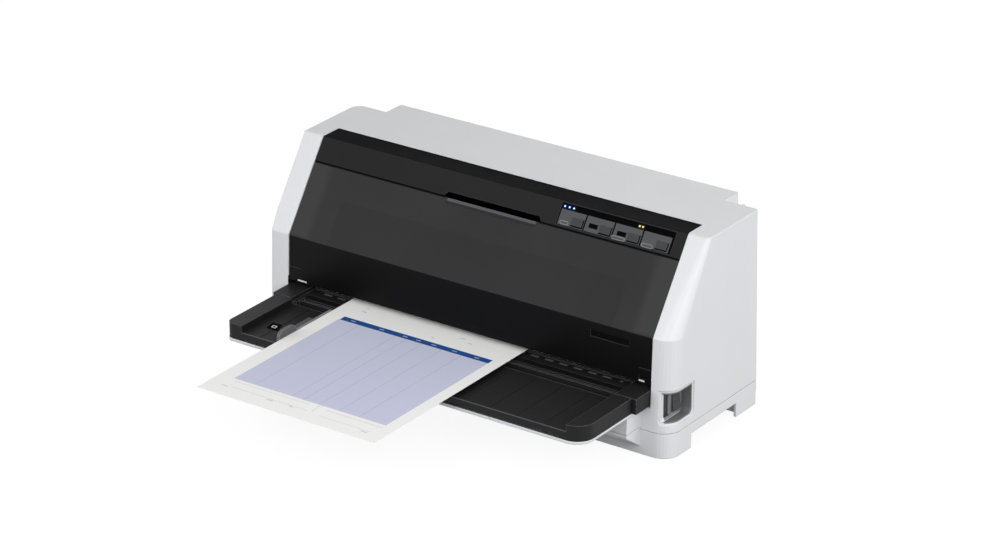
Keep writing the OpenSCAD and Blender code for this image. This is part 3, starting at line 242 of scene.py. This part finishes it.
def moulded(name, colour, rough=0.45, tone=0.03, grain=0.0005, relief=0.00003, edge=0.0006, worn=None,
            masks=None, sound=None, **sockets):
    """Injection moulded plastic: a fine spark-eroded grain, faint cloudiness and rounded edges.

    tone is how far the colour drifts, grain and relief are the grain's size and height, and edge
    is the edges' radius, in metres. worn is the colour of a painted highlight along the
    edges, and unhighlighted masks where none is painted. masks gives pairs of a mask and its colour.
    """
    n = Nodes(bpy.data.materials.new(name))
    cloud = n.noise(14, 3)
    fine = n.noise(1 / grain, 3)
    tint = n.mix(n.spread(cloud, 0, 1), scaled(colour, 1 - tone), scaled(colour, 1 + tone))
    tint = n.mix(n.spread(fine, 0, 0.35), tint, scaled(colour, 1 - 2 * tone))
    # Painted highlight: the edges are painted lighter, unevenly by the cloud noise, for light caught on them
    if worn:
        highlight_mask = n.math("MULTIPLY", n.edges(edge * 1.6), n.spread(cloud, 0.65, 1.0))
        if sound:
            highlight_mask = n.math("MULTIPLY", highlight_mask, n.math("SUBTRACT", 1.0, sound(n)))
        tint = n.mix(highlight_mask, tint, worn)
    if masks:
        tint = n.paint(tint, masks(n))
    smudge = n.noise(31, 4, roughness=0.7)
    gloss = n.math("ADD", n.spread(smudge, rough - 0.04, rough + 0.05), n.spread(fine, -0.03, 0.03))
    n.shader(tint, gloss, n.bump(fine, relief, n.bevel(edge) if edge else None), **sockets)
    return n.owner


def print_ink(name, colour, rough=0.5, tone=0.03, **sockets):
    """Ink printed on plastic: a thin even layer without rounded edges."""
    return moulded(name, colour, rough, tone, grain=0.0003, relief=0.000004, edge=None, **sockets)


def metal(name, colour, rough, stretch, scale=900, relief=0.00001):
    """Metal with a faint change of tone and fine marks, drawn out where stretch is below 1."""
    n = Nodes(bpy.data.materials.new(name))
    marks = n.noise(scale, 4, stretch)
    cloud = n.noise(22, 3)
    tint = n.mix(n.spread(cloud, 0, 1), scaled(colour, 0.94), scaled(colour, 1.06))
    tint = n.mix(n.spread(marks, 0, 0.3), tint, scaled(colour, 0.7))
    gloss = n.spread(marks, rough - 0.07, rough + 0.1)
    n.shader(tint, gloss, n.bump(marks, relief, n.bevel(FINE_EDGE)), metallic=1.0)
    return n.owner


def rubber(name, colour):
    """Ground rubber with a dusty bloom."""
    n = Nodes(bpy.data.materials.new(name))
    pits = n.noise(2600, 4)
    bloom = n.noise(60, 5, roughness=0.7)
    tint = n.mix(n.spread(bloom, 0, 0.5), colour, scaled(colour, 1.9))
    gloss = n.spread(pits, 0.65, 0.85)
    n.shader(tint, gloss, n.bump(pits, 0.00004, n.bevel(FINE_EDGE)), Specular_IOR_Level=0.3)
    return n.owner


def zinc(name):
    """Zinc plated sheet steel: blotchy crystals under long drawing marks."""
    n = Nodes(bpy.data.materials.new(name))
    cells = n.add("ShaderNodeTexVoronoi", feature="F1", Scale=160)
    n.feed(cells.inputs["Vector"], n.coords)
    crystals = cells.outputs["Distance"]
    marks = n.noise(700, 3, (0.15, 1, 1))
    tint = n.mix(n.spread(crystals, 0, 1, 0.1, 0.9), rgb(176, 178, 180), rgb(205, 206, 204))
    tint = n.mix(n.spread(marks, 0, 0.3), tint, rgb(140, 142, 145))
    gloss = n.math("ADD", n.spread(marks, 0.3, 0.42), n.spread(crystals, -0.04, 0.05, 0, 1))
    n.shader(tint, gloss, n.bump(marks, 0.00001, n.bevel(FINE_EDGE)), metallic=1.0)
    return n.owner


def circuit(name):
    """Green solder mask over copper tracks that run along the board."""
    n = Nodes(bpy.data.materials.new(name))
    bricks = n.add("ShaderNodeTexBrick", Scale=260, offset=0.35)
    bricks.inputs["Mortar Size"].default_value = 0.03
    n.feed(bricks.inputs["Vector"], n.coords)
    marks = n.noise(300, 2, (0.2, 1, 1))
    track = n.spread(marks, 0, 1, 0.5, 0.56)
    tint = n.mix(track, rgb(12, 74, 44), rgb(24, 108, 62))
    tint = n.mix(bricks.outputs["Fac"], tint, rgb(150, 150, 120))
    n.shader(tint, n.spread(marks, 0.28, 0.4), n.bump(track, 0.00003, n.bevel(FINE_EDGE)))
    return n.owner


# Places on the cover: each pair starts and ends a smooth step, or bounds a range, in metres
COVER_ENDS = (0.188, 0.2)
COVER_ENDS_FADE = 0.124
WINDOW_SIDES, WINDOW_TOP = (0.172, 0.168), (0.1605, 0.1585)
POCKET_X, POCKET_Z = (0.1459, 0.1901), (0.1059, 0.1131)
BELOW_FOLD = 0.1205
LIP_ENDS, LIP_Z = (0.0525, 0.052), (0.1828, 0.1852)
GAP_ENDS = (0.0555, 0.0565)
COVER_GAP = (BAND_EDGE + 0.9, BAND_EDGE + 0.7)  # this one in mm down the slope
SEE_THROUGH = 0.1  # share of the cover that lets light straight through


def smoked(name):
    """Smoked translucent plastic: paler where its ends catch the light, darker over the mechanism."""
    n = Nodes(bpy.data.materials.new(name))
    fine = n.noise(1500, 3)
    cloud = n.noise(9, 3)
    across = n.math("ABSOLUTE", n.axis("X"))
    height = n.axis("Z")
    ends = n.math("MULTIPLY", n.ramp(across, *COVER_ENDS), n.ramp(height, FOLD_HEIGHT * MM, COVER_ENDS_FADE))
    window = n.math("MULTIPLY", n.ramp(across, *WINDOW_SIDES), n.ramp(height, *WINDOW_TOP))
    pocket = n.math("MULTIPLY", n.within("X", *POCKET_X), n.within("Z", *POCKET_Z))
    lip = n.math("MULTIPLY", n.ramp(across, *LIP_ENDS), n.within("Z", *LIP_Z))
    gap = n.ramp(n.down_slope(), *(s * MM for s in COVER_GAP))
    tint = n.mix(n.spread(cloud, 0, 1), rgb(47, 47, 48), rgb(52, 52, 53))
    # Each mask, times how far its colour takes over, and that colour
    tint = n.paint(tint, [
        (n.math("MULTIPLY", window, 0.35), rgb(38, 38, 39)),
        (n.math("MULTIPLY", ends, 0.5), rgb(68, 68, 69)),
        # Below the fold the cover takes its near black; the paler tint kept on the slope is a painted
        # reflection
        (n.ramp(height, FOLD_HEIGHT * MM, BELOW_FOLD), rgb(10, 10, 11)),
        (pocket, rgb(3, 3, 4)),
        # Painted highlight along the cover's edges
        (n.math("MULTIPLY", n.edges(0.0006), 0.5), rgb(88, 88, 90)),
        # Painted shade in the gap where the cover meets the band
        (n.math("MULTIPLY", gap, n.ramp(across, *GAP_ENDS)), rgb(6, 6, 7)),
        # Painted highlight on the lip of the finger notch
        (n.math("MULTIPLY", lip, 0.75), rgb(98, 98, 100)),
    ])
    gloss = n.math("ADD", n.spread(cloud, 0.34, 0.4), n.spread(fine, -0.03, 0.03))
    body = n.shader(tint, gloss, n.bump(fine, 0.00002, n.bevel(0.0006)), Specular_IOR_Level=0.1)
    clear = n.add("ShaderNodeBsdfTransparent", Color=rgb(110, 110, 112))
    both = n.add("ShaderNodeMixShader")
    both.inputs[0].default_value = SEE_THROUGH
    n.feed(both.inputs[1], body.outputs[0])
    n.feed(both.inputs[2], clear.outputs[0])
    n.feed(n.output.inputs["Surface"], both.outputs[0])
    return n.owner


def paper(name, colour, ink=0.0):
    """Uncoated paper with fibres; ink gives how unevenly a printed tint takes."""
    n = Nodes(bpy.data.materials.new(name))
    fibres = n.noise(900, 5, (1, 0.4, 1), 0.7)
    cloud = n.noise(45, 4)
    tint = n.mix(n.spread(fibres, 0, 1), scaled(colour, 0.97 - ink), scaled(colour, 1.02))
    tint = n.mix(n.spread(cloud, 0, 0.4), tint, scaled(colour, 0.97))
    n.shader(tint, n.spread(fibres, 0.68, 0.85), n.bump(fibres, 0.00002), Specular_IOR_Level=0.35)
    return n.owner


LENS_DEPTH = -0.5  # the lit cores' centres lie this far below the slope, in mm
LENS_CORE = (0.0011, 0.0004)  # the pale core fades in between these distances from its centre
LENS_GLOW, LENS_RIM_GLOW = 0.9, 0.54
AMBER_GLOW = 0.4  # share of that glow which the amber lights have


def lens(name, blue, amber):
    """Lit light guides, each with a pale core."""
    n = Nodes(bpy.data.materials.new(name))
    fine = n.noise(4000, 2)
    nearest = None
    for x in LIGHTS:
        apart = n.add("ShaderNodeVectorMath", operation="DISTANCE")
        n.feed(apart.inputs[0], n.coords)
        n.feed(apart.inputs[1], on_slope(x, LIGHT_ROW, LENS_DEPTH))
        far = apart.outputs["Value"]
        nearest = far if nearest is None else n.math("MINIMUM", nearest, far)
    side = n.ramp(n.axis("X"), FIRST_AMBER * MM, (FIRST_AMBER + 1) * MM)
    core = n.ramp(nearest, *LENS_CORE)
    colour = n.mix(side, n.mix(core, blue, rgb(214, 232, 255)), n.mix(core, amber, rgb(250, 236, 150)))
    shader = n.shader(n.mix(n.spread(fine, 0, 0.2), colour, rgb(240, 244, 250)), n.spread(fine, 0.2, 0.3))
    n.feed(shader.inputs["Emission Color"], colour)
    glow = n.ramp(core, 0, 1, LENS_RIM_GLOW, LENS_GLOW)
    share = n.ramp(side, 0, 1, 1.0, AMBER_GLOW)
    n.feed(shader.inputs["Emission Strength"], n.math("MULTIPLY", glow, share))
    return n.owner


WHITE = rgb(219, 220, 223)
INK = rgb(9, 9, 10)

# Places on band, casing, tray and guide, given as for the cover
LEVEL_STRIP = (0.2073, 0.2075)
NOTCH_DEPTH = (0.0012, 0.0015)
BAND_GAP = (BAND_EDGE - 1.5, BAND_EDGE - 1.3)  # in mm down the slope
CORNER_SIDES, CORNER_Y, CORNER_Z = (0.217, 0.2167), (-0.0295, 0.03), (0.052, 0.078)
RECESS_X, RECESS_Y, RECESS_Z = (0.2268, 0.229), (-0.0068, 0.0258), (0.0362, 0.0687)
HOOD_X, HOOD_Y, HOOD_Z = (-0.2, 0.2), (0.1555, 0.1588), (0.1, 0.2058)
TRAY_X, TRAY_Z = (-0.1917, 0.1917), (0.0611, 0.0617)
TRAY_FRONT, TRAY_REAR = (-0.1189, -0.1176), (-0.0359, -0.0351)
GROOVES_Y, GROOVES_Z = (-0.117, -0.0362), (0.0605, 0.0618)
FENCE_TOP = (0.0669, 0.0676)


def band_masks(n):
    """The band's level strip is black, and its lower edge at the gap to the cover and the pocket behind its
    finger notch are painted shade in black.
    """
    edge = n.ramp(n.down_slope(), *(s * MM for s in BAND_GAP))
    return [(n.ramp(n.axis("Z"), *LEVEL_STRIP), INK), (edge, INK), (n.ramp(n.depth(), *NOTCH_DEPTH), INK)]


def case_painted_shade(n):
    """Painted shade on the casing: black at its inner corners, dark inside its hood and grey round the power
    switch.
    """
    across = n.ramp(n.math("ABSOLUTE", n.axis("X")), *CORNER_SIDES)
    corners = n.math("MULTIPLY", n.within("Z", *CORNER_Z), n.within("Y", *CORNER_Y))
    recess = n.math("MULTIPLY", n.within("Y", *RECESS_Y), n.within("Z", *RECESS_Z))
    hood = n.math("MULTIPLY", n.within("Y", *HOOD_Y), n.within("Z", *HOOD_Z))
    return [
        (n.math("MULTIPLY", across, corners), INK),
        (n.math("MULTIPLY", recess, n.within("X", *RECESS_X, 0.0001)), rgb(118, 119, 122)),
        (n.math("MULTIPLY", hood, n.within("X", *HOOD_X)), rgb(34, 34, 36)),
    ]


def tray_painted_highlights(n):
    """Painted highlights along the tray floor's front and rear edges."""
    level = n.math("MULTIPLY", n.within("Z", *TRAY_Z), n.within("X", *TRAY_X))
    return [
        (n.math("MULTIPLY", level, n.within("Y", *TRAY_FRONT, 0.0002)), rgb(88, 88, 90)),
        (n.math("MULTIPLY", level, n.within("Y", *TRAY_REAR, 0.0002)), rgb(74, 74, 76)),
    ]


def tray_grooves(n):
    """1 on the tray's grooved floor."""
    return n.math("MULTIPLY", n.within("Z", *GROOVES_Z), n.within("Y", *GROOVES_Y))


def guide_painted_highlight(n):
    """Painted highlight along the top of the edge guide's fence."""
    return [(n.within("Z", *FENCE_TOP, 0.0001), rgb(132, 132, 134))]


# An entry's lighter edge colour is a painted highlight along that finish's edges
MOULDED = {
    "case_white": dict(colour=WHITE, rough=0.42, tone=0.012, grain=0.0006, relief=0.000025, edge=0.0012,
                       masks=case_painted_shade),
    "band_black": dict(colour=rgb(43, 43, 44), rough=0.5, tone=0.05, relief=0.00002, edge=0.0005,
                       worn=rgb(80, 80, 81), masks=band_masks, Specular_IOR_Level=0.01),
    "tray_black": dict(colour=rgb(27, 27, 28), rough=0.5, tone=0.06, grain=0.0006, relief=0.00004,
                       edge=0.0005, worn=rgb(104, 104, 106), masks=tray_painted_highlights, sound=tray_grooves,
                       Specular_IOR_Level=0.16),
    "guide_grey": dict(colour=rgb(80, 80, 82), tone=0.04, edge=0.0005, worn=rgb(160, 160, 162),
                       masks=guide_painted_highlight),
    "plate_grey": dict(colour=rgb(82, 83, 84), tone=0.02, grain=0.0003, relief=0.000006, edge=0.0002,
                       Specular_IOR_Level=0.06),
    "key_grey": dict(colour=rgb(66, 67, 68), grain=0.0004, relief=0.00001, worn=rgb(104, 105, 106),
                     Specular_IOR_Level=0.06),
    "bezel_grey": dict(colour=rgb(112, 113, 116), rough=0.4, tone=0.02, relief=0.00001, edge=0.0003,
                       worn=rgb(170, 171, 174), Specular_IOR_Level=0.25),
    "black_plastic": dict(colour=rgb(24, 24, 25), tone=0.06, grain=0.0006, relief=0.00004, edge=0.0005),
    "gear_plastic": dict(colour=rgb(226, 222, 206), rough=0.38, grain=0.0009, relief=0.00002, edge=0.0002),
    "port_grey": dict(colour=rgb(112, 114, 117), rough=0.42),
    "knob_blue": dict(colour=rgb(60, 112, 178), rough=0.4, tone=0.04),
    "lever_grey": dict(colour=rgb(168, 171, 174), rough=0.4),
}
INKS = {
    "ink_black": dict(colour=rgb(6, 6, 7), rough=0.55, tone=0.04, Specular_IOR_Level=0.01),
    "ink_pale": dict(colour=rgb(150, 151, 153)),
    "ink_mark": dict(colour=rgb(92, 93, 95)),
    "ink_white": dict(colour=rgb(206, 207, 208), tone=0.02),
    # glow_blue and glow_amber are painted light, the glow of the lit guides on the plate
    "glow_blue": dict(colour=rgb(3, 24, 70), tone=0.1, Specular_IOR_Level=0.01),
    "glow_amber": dict(colour=rgb(40, 32, 5), tone=0.1, Specular_IOR_Level=0.01),
}
METALS = {
    "ground_steel": dict(colour=rgb(214, 215, 218), rough=0.2, stretch=(0.1, 1, 1)),
    "head_aluminium": dict(colour=rgb(150, 152, 156), rough=0.45, stretch=(1, 1, 0.4), scale=500,
                           relief=0.00004),
    "pinion_brass": dict(colour=rgb(208, 176, 106), rough=0.3, stretch=(0.2, 1, 1)),
    "motor_can": dict(colour=rgb(62, 63, 66), rough=0.4, stretch=(1, 1, 0.15), scale=600),
    "bar_black": dict(colour=rgb(46, 46, 48), rough=0.5, stretch=(0.1, 1, 1)),
}
RUBBERS = {
    "foot_rubber": dict(colour=rgb(36, 36, 37)),
    "roller_rubber": dict(colour=rgb(46, 46, 48)),
    "belt_rubber": dict(colour=rgb(24, 24, 25)),
}
PAPERS = {
    "sheet_paper": dict(colour=rgb(251, 251, 250)),
    "print_tint": dict(colour=rgb(206, 209, 231), ink=0.01),
    "print_blue": dict(colour=rgb(2, 70, 140), ink=0.03),
    "print_rule": dict(colour=rgb(172, 175, 200), ink=0.02),
    "print_grey": dict(colour=rgb(186, 188, 194), ink=0.02),
}

finishes = {
    "cover_smoke": smoked("cover_smoke"),
    "light_lens": lens("light_lens", rgb(16, 92, 255), rgb(196, 164, 40)),
    "zinc_steel": zinc("zinc_steel"),
    "circuit_board": circuit("circuit_board"),
}
TABLES = ((moulded, MOULDED), (print_ink, INKS), (metal, METALS), (rubber, RUBBERS), (paper, PAPERS))
for make, table in TABLES:
    for name, look in table.items():
        finishes[name] = make(name, **look)

look_of = {part["node"]: part["material_slot"] for part in frame["record"]["subparts"]}
look_of["grounding_bar"] = "bar_black"
look_of["edge_guide"] = "guide_grey"
for name, obj in nodes.items():
    obj.data.materials.clear()
    obj.data.materials.append(finishes[look_of[name]])

# ---------------------------------------------------------------- thin printed layers


def new_piece(name, bm, looks, body):
    """Turns a closed bmesh into a piece with its finishes and its body."""
    bmesh.ops.recalc_face_normals(bm, faces=bm.faces)
    mesh = bpy.data.meshes.new(name)
    bm.to_mesh(mesh)
    bm.free()
    for look in looks:
        mesh.materials.append(finishes[look])
    obj = bpy.data.objects.new(name, mesh)
    bpy.context.scene.collection.objects.link(obj)
    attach(obj, body)
    return obj


def film(name, areas, place, low, high, looks, body):
    """Closed layer cut along the sides of its areas: (x0, y0, x1, y1, look), later areas on top.

    The layer is open where no area lies, and where the topmost one has None as its look.
    """
    xs = sorted({round(v, 4) for area in areas for v in (area[0], area[2])})
    ys = sorted({round(v, 4) for area in areas for v in (area[1], area[3])})
    columns, rows = len(xs) - 1, len(ys) - 1

    def look_at(i, j):
        if not (0 <= i < columns and 0 <= j < rows):
            return None
        x, y = (xs[i] + xs[i + 1]) / 2, (ys[j] + ys[j + 1]) / 2
        found = None
        for x0, y0, x1, y1, look in areas:
            if x0 < x < x1 and y0 < y < y1:
                found = look
        return found

    bm = bmesh.new()
    points = {}

    def vert(i, j, level):
        if (i, j, level) not in points:
            points[i, j, level] = bm.verts.new(place(xs[i], ys[j], level))
        return points[i, j, level]

    for i in range(columns):
        for j in range(rows):
            look = look_at(i, j)
            if look is None:
                continue
            ring = [(i, j), (i + 1, j), (i + 1, j + 1), (i, j + 1)]
            made = [bm.faces.new([vert(*c, high) for c in ring])]
            made.append(bm.faces.new([vert(*c, low) for c in ring[::-1]]))
            for side, (di, dj) in enumerate(((0, -1), (1, 0), (0, 1), (-1, 0))):
                if look_at(i + di, j + dj) is None:
                    a, b = ring[side], ring[(side + 1) % 4]
                    made.append(bm.faces.new([vert(*a, low), vert(*b, low), vert(*b, high), vert(*a, high)]))
            for face in made:
                face.material_index = looks.index(look)
    return new_piece(name, bm, looks, body)


def rounded_loop(x0, y0, x1, y1, radius, steps=5):
    """Points of a rectangle with rounded corners."""
    points = []
    for cx, cy, start in ((x1, y1, 0), (x0, y1, 90), (x0, y0, 180), (x1, y0, 270)):
        cx += -radius if cx == x1 else radius
        cy += -radius if cy == y1 else radius
        for k in range(steps + 1):
            angle = math.radians(start + 90 * k / steps)
            points.append((cx + radius * math.cos(angle), cy + radius * math.sin(angle)))
    return points


def frames(name, boxes, radius, width, place, low, high, look, body):
    """Closed rounded outlines of the given width, one round each box."""
    bm = bmesh.new()
    for x0, y0, x1, y1 in boxes:
        outer = rounded_loop(x0, y0, x1, y1, radius)
        inner = rounded_loop(x0 + width, y0 + width, x1 - width, y1 - width, radius - width)
        rings = [[bm.verts.new(place(*c, level)) for c in loop]
                 for loop, level in ((outer, low), (outer, high), (inner, high), (inner, low))]
        count = len(outer)
        for a, b in zip(rings, rings[1:] + rings[:1]):
            for k in range(count):
                bm.faces.new([a[k], a[(k + 1) % count], b[(k + 1) % count], b[k]])
    return new_piece(name, bm, [look], body)


# Loaded sheet with a blank ruled form: heading bar, tinted table, rules, and dashes in place of words
SHEET = (-143, -238, 67, 59)
SHEET_LOW, SHEET_HIGH = 67, 67.3
TABLE_LEFT, TABLE_RIGHT, TABLE_FRONT = -125.5, 54, -203
BAR_LEFT, BAR_FRONT, BAR_REAR = -124.4, -38.6, -30.4
RULES = (-100.3, -56.4, -42.7, -24, -0.5, 22.7)
RULE_HALF = 0.25
HEADINGS = (-110.8, -76, -47.4, -31.5, -13.1, 11.5, 37.9)
HEADING_HALF, HEADING_FRONT, HEADING_REAR = 2.8, -35.1, -34.1
FOOT_LINES = ((-121.5, -208, -31, -207.6), (-115.4, -219.4, -24.8, -219), (-21.7, -217.8, -21.3, -205.4),
              (-9.7, -222.2, 51, -221.8), (-10.5, -209, 54, -208.5))
DASHES = ((-122.8, -220.6, 7), (-68, -221.7, 8), (-43.3, -221.1, 5), (45.1, -225, 8), (-114.9, -10.9, 6),
          (-116.5, -2.2, 4), (1.3, -6.6, 6), (14, -12.1, 5), (-23.7, -21.8, 4))
form = [(*SHEET, "sheet_paper"), (TABLE_LEFT, TABLE_FRONT, TABLE_RIGHT, BAR_FRONT, "print_tint")]
form += [(x - RULE_HALF, TABLE_FRONT, x + RULE_HALF, BAR_FRONT, "print_rule") for x in RULES]
form += [(BAR_LEFT, BAR_FRONT, TABLE_RIGHT, BAR_REAR, "print_blue")]
form += [(x - HEADING_HALF, HEADING_FRONT, x + HEADING_HALF, HEADING_REAR, "print_tint") for x in HEADINGS]
form += [(*line, "print_grey") for line in FOOT_LINES]
form += [(x - w / 2, y - 0.5, x + w / 2, y + 0.5, "print_grey") for x, y, w in DASHES]
sheet = film("printed_sheet", form, at, SHEET_LOW, SHEET_HIGH,
             ["sheet_paper", "print_tint", "print_blue", "print_rule", "print_grey"], "sheet")
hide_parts("paper_sheet")

# Printed film on the control plate: black ground, grey key fields, painted shadows beside the keys, painted
# glow round the lights, and blank captions
PLATE_FACE = -0.7  # the plate's face lies this far below the casing's slope, in mm
PLATE = (74.05, 2.25, 203.95, 24.45)
FIELDS = ((75.3, 104.1), (105.7, 136.4), (138, 168.7), (170.3, 201.4))
FIELD_TOP, FIELD_BOTTOM = 8.5, 23.9
KEYS = (96.2, 128.3, 160.4, 192.5)
KEY_ROW = 18.2
KEY_HALF, KEY_HALF_ROW = 6.4, 3.9  # half the hole round a key, across and down the slope
SHADOW_RIGHT, SHADOW_BOTTOM = 7.4, 23.3
CAPTIONS = ((109.6, 15.2, 119.8, 19.8), (141.9, 15.2, 152.1, 19.8))
KEY_LABELS = ((77.6, 19.6, 87.2, 23.2), (136.9, 20.6, 152.2, 24.1), (171.2, 20.2, 183.6, 24))
GLOW_HALF, GLOW_TOP, GLOW_BOTTOM = 2.1, 3.4, 7.9
LIGHT_HALF, LIGHT_HALF_ROW = 1.2, 1.1
KEY_TOP, KEY_BOTTOM = KEY_ROW - KEY_HALF_ROW, KEY_ROW + KEY_HALF_ROW
plate = [(*PLATE, "ink_black")]
plate += [(a, FIELD_TOP, b, FIELD_BOTTOM, "plate_grey") for a, b in FIELDS]
# Painted shadow: black below and to the right of each key
plate += [(x - KEY_HALF, KEY_TOP, x + SHADOW_RIGHT, SHADOW_BOTTOM, "ink_black") for x in KEYS]
plate += [(x - KEY_HALF, KEY_TOP, x + KEY_HALF, KEY_BOTTOM, None) for x in KEYS]
plate += [(*box, "ink_black") for box in CAPTIONS]
# Painted light: a blue or amber glow on the plate round each light
for x in LIGHTS:
    glow = "glow_blue" if x < FIRST_AMBER else "glow_amber"
    plate.append((x - GLOW_HALF, GLOW_TOP, x + GLOW_HALF, GLOW_BOTTOM, glow))
plate += [(x - LIGHT_HALF, LIGHT_ROW - LIGHT_HALF_ROW, x + LIGHT_HALF, LIGHT_ROW + LIGHT_HALF_ROW, None)
          for x in LIGHTS]
film("plate_print", plate, on_slope, PLATE_FACE, PLATE_FACE + 0.05,
     ["ink_black", "plate_grey", "glow_blue", "glow_amber"], "chassis")
frames("plate_outlines", KEY_LABELS, 1.7, 0.4, on_slope, PLATE_FACE, PLATE_FACE + 0.08, "ink_pale",
       "chassis")

# Pale guide marks along the tray's rear ledge, and one at its right end
LEDGE = 64.5
MARK_COUNT, MARK_PITCH, MARK_LENGTH = 21, 16.7, 9.6
MARKS_LEFT, MARKS_FRONT, MARKS_REAR = -177.2, 4.3, 7.3
marks = []
for i in range(MARK_COUNT):
    left = MARKS_LEFT + MARK_PITCH * i
    marks.append((left, MARKS_FRONT, left + MARK_LENGTH, MARKS_REAR, "ink_mark"))
marks += [(176.8, MARKS_FRONT, 179.8, MARKS_REAR, "ink_mark")]
film("ledge_marks", marks, at, LEDGE, LEDGE + 0.05, ["ink_mark"], "chassis")

# Small dark label with a plain pale square on the tray's floor
LABEL = ((-179, -86.4), (-164.8, -86.2), (-170.3, -71.1), (-181.9, -72.5))
LABEL_LOW, LABEL_HIGH = 61.5, 61.56


def on_label(u, v, z):
    """Point at height z, from 0,0 at the label's front left corner to 1,1 at its rear right one."""
    low = [LABEL[0][k] * (1 - u) + LABEL[1][k] * u for k in (0, 1)]
    high = [LABEL[3][k] * (1 - u) + LABEL[2][k] * u for k in (0, 1)]
    return at(low[0] * (1 - v) + high[0] * v, low[1] * (1 - v) + high[1] * v, z)


SQUARE, SQUARE_HOLE = (0.26, 0.3, 0.68, 0.68), (0.36, 0.38, 0.58, 0.58)
label = [(0, 0, 1, 1, "ink_black"), (*SQUARE, "ink_white"), (*SQUARE_HOLE, "ink_black")]
film("tray_label", label, on_label, LABEL_LOW, LABEL_HIGH, ["ink_black", "ink_white"],
     "chassis")

# Small white marks on the cover's lower corners
COVER_FACE = 0.8  # the cover's face lies this far behind the casing's front, in mm
corner_marks = [(-205, 74.7, -194, 76.3, "ink_white"), (202.3, 74.6, 208.5, 76.2, "ink_white")]


def on_cover(x, z, out):
    """Point of the cover's face below the fold, which leans with the casing's front."""
    return at(x, front_at(z) + COVER_FACE - out, z)


film("cover_marks", corner_marks, on_cover, 0, 0.05, ["ink_white"], "cover")

# ---------------------------------------------------------------- studio

FLOOR_HALF = 6
FLOOR_LIFT = 0.9  # what the floor adds to its own grey to show white
SKY_LIGHT = 0.27

floor_mesh = bpy.data.meshes.new("studio_floor")
corners = [(x * FLOOR_HALF, y * FLOOR_HALF, 0) for x, y in ((-1, -1), (1, -1), (1, 1), (-1, 1))]
floor_mesh.from_pydata(corners, [], [(0, 1, 2, 3)])
floor = bpy.data.objects.new("studio_floor", floor_mesh)
bpy.context.scene.collection.objects.link(floor)

n = Nodes(bpy.data.materials.new("studio_floor"))
ground = n.shader(n.mix(n.spread(n.noise(3, 2), 0, 1), rgb(92, 92, 93), rgb(97, 97, 98)), 0.9)
lift = n.add("ShaderNodeEmission", Color=(1, 1, 1, 1))
n.feed(lift.inputs["Strength"], n.math("MULTIPLY", n.background_rays(), FLOOR_LIFT))
both = n.add("ShaderNodeAddShader")
n.feed(both.inputs[0], ground.outputs[0])
n.feed(both.inputs[1], lift.outputs[0])
n.feed(n.output.inputs["Surface"], both.outputs[0])
floor_mesh.materials.append(n.owner)

n = Nodes(bpy.data.worlds.new("studio"), "ShaderNodeOutputWorld")
bpy.context.scene.world = n.owner
sky = n.add("ShaderNodeBackground", Color=(1, 1, 1, 1))
n.feed(sky.inputs["Strength"], n.remap(n.background_rays(), 0, 1, SKY_LIGHT, 1.0))
n.feed(n.output.inputs["Surface"], sky.outputs[0])

LAMP_TARGET = Vector((0, -0.01, 0.09))
# The sloping front mirrors (-0.53, -0.65, 0.55) to the camera, so no lamp stands there.
# Each: name, direction it stands in, distance and size in metres, share of white
LAMPS = (
    ("key_light", (0.72, -0.46, 0.48), 2.6, (1.8, 1.4), 0.57),
    ("side_light", (1, 0.45, 0.12), 2.6, (1.4, 1.0), 0.36),
    ("front_light", (-0.05, -0.83, 0.56), 2.8, (1.6, 1.0), 0.34),
    ("fill_light", (-0.75, -0.6, 0.3), 2.8, (1.4, 0.8), 0.18),
    ("rear_light", (-0.25, 0.95, 0.08), 2.8, (2.0, 1.0), 0.24),
    ("left_light", (-1, 0.15, 0.06), 2.8, (1.4, 1.0), 0.2),
)


def softbox(name, direction, distance, size, level):
    """Area light whose full face gives a surface the stated share of white."""
    lamp = bpy.data.lights.new(name, "AREA")
    lamp.shape = "RECTANGLE"
    lamp.size, lamp.size_y = size
    lamp.energy = level * math.pi**2 * distance**2
    obj = bpy.data.objects.new(name, lamp)
    bpy.context.scene.collection.objects.link(obj)
    back = Vector(direction).normalized()
    obj.location = LAMP_TARGET + back * distance
    obj.rotation_mode = "QUATERNION"
    obj.rotation_quaternion = back.to_track_quat("Z", "Y")


for lamp in LAMPS:
    softbox(*lamp)

# Camera fitted to the photograph's edges of the casing
CAMERA_PLACE = Vector((2.0436277, -2.8508532, 1.6879115))
CAMERA_RIGHT = Vector((0.8181486, 0.5749985, -0.0031036))
CAMERA_UP = Vector((-0.2319309, 0.3349371, 0.9132498))
CAMERA_BACK = Vector((0.5261567, -0.7464542, 0.4073883))
camera_data = bpy.data.cameras.new("camera")
camera_data.sensor_width = 36
camera_data.lens = 142.613
camera_data.clip_end = 40
camera = bpy.data.objects.new("camera", camera_data)
bpy.context.scene.collection.objects.link(camera)
turn = Matrix((CAMERA_RIGHT, CAMERA_UP, CAMERA_BACK)).transposed().to_4x4()
camera.matrix_world = Matrix.Translation(CAMERA_PLACE) @ turn
bpy.context.scene.camera = camera

bpy.context.scene.view_settings.view_transform = "Standard"
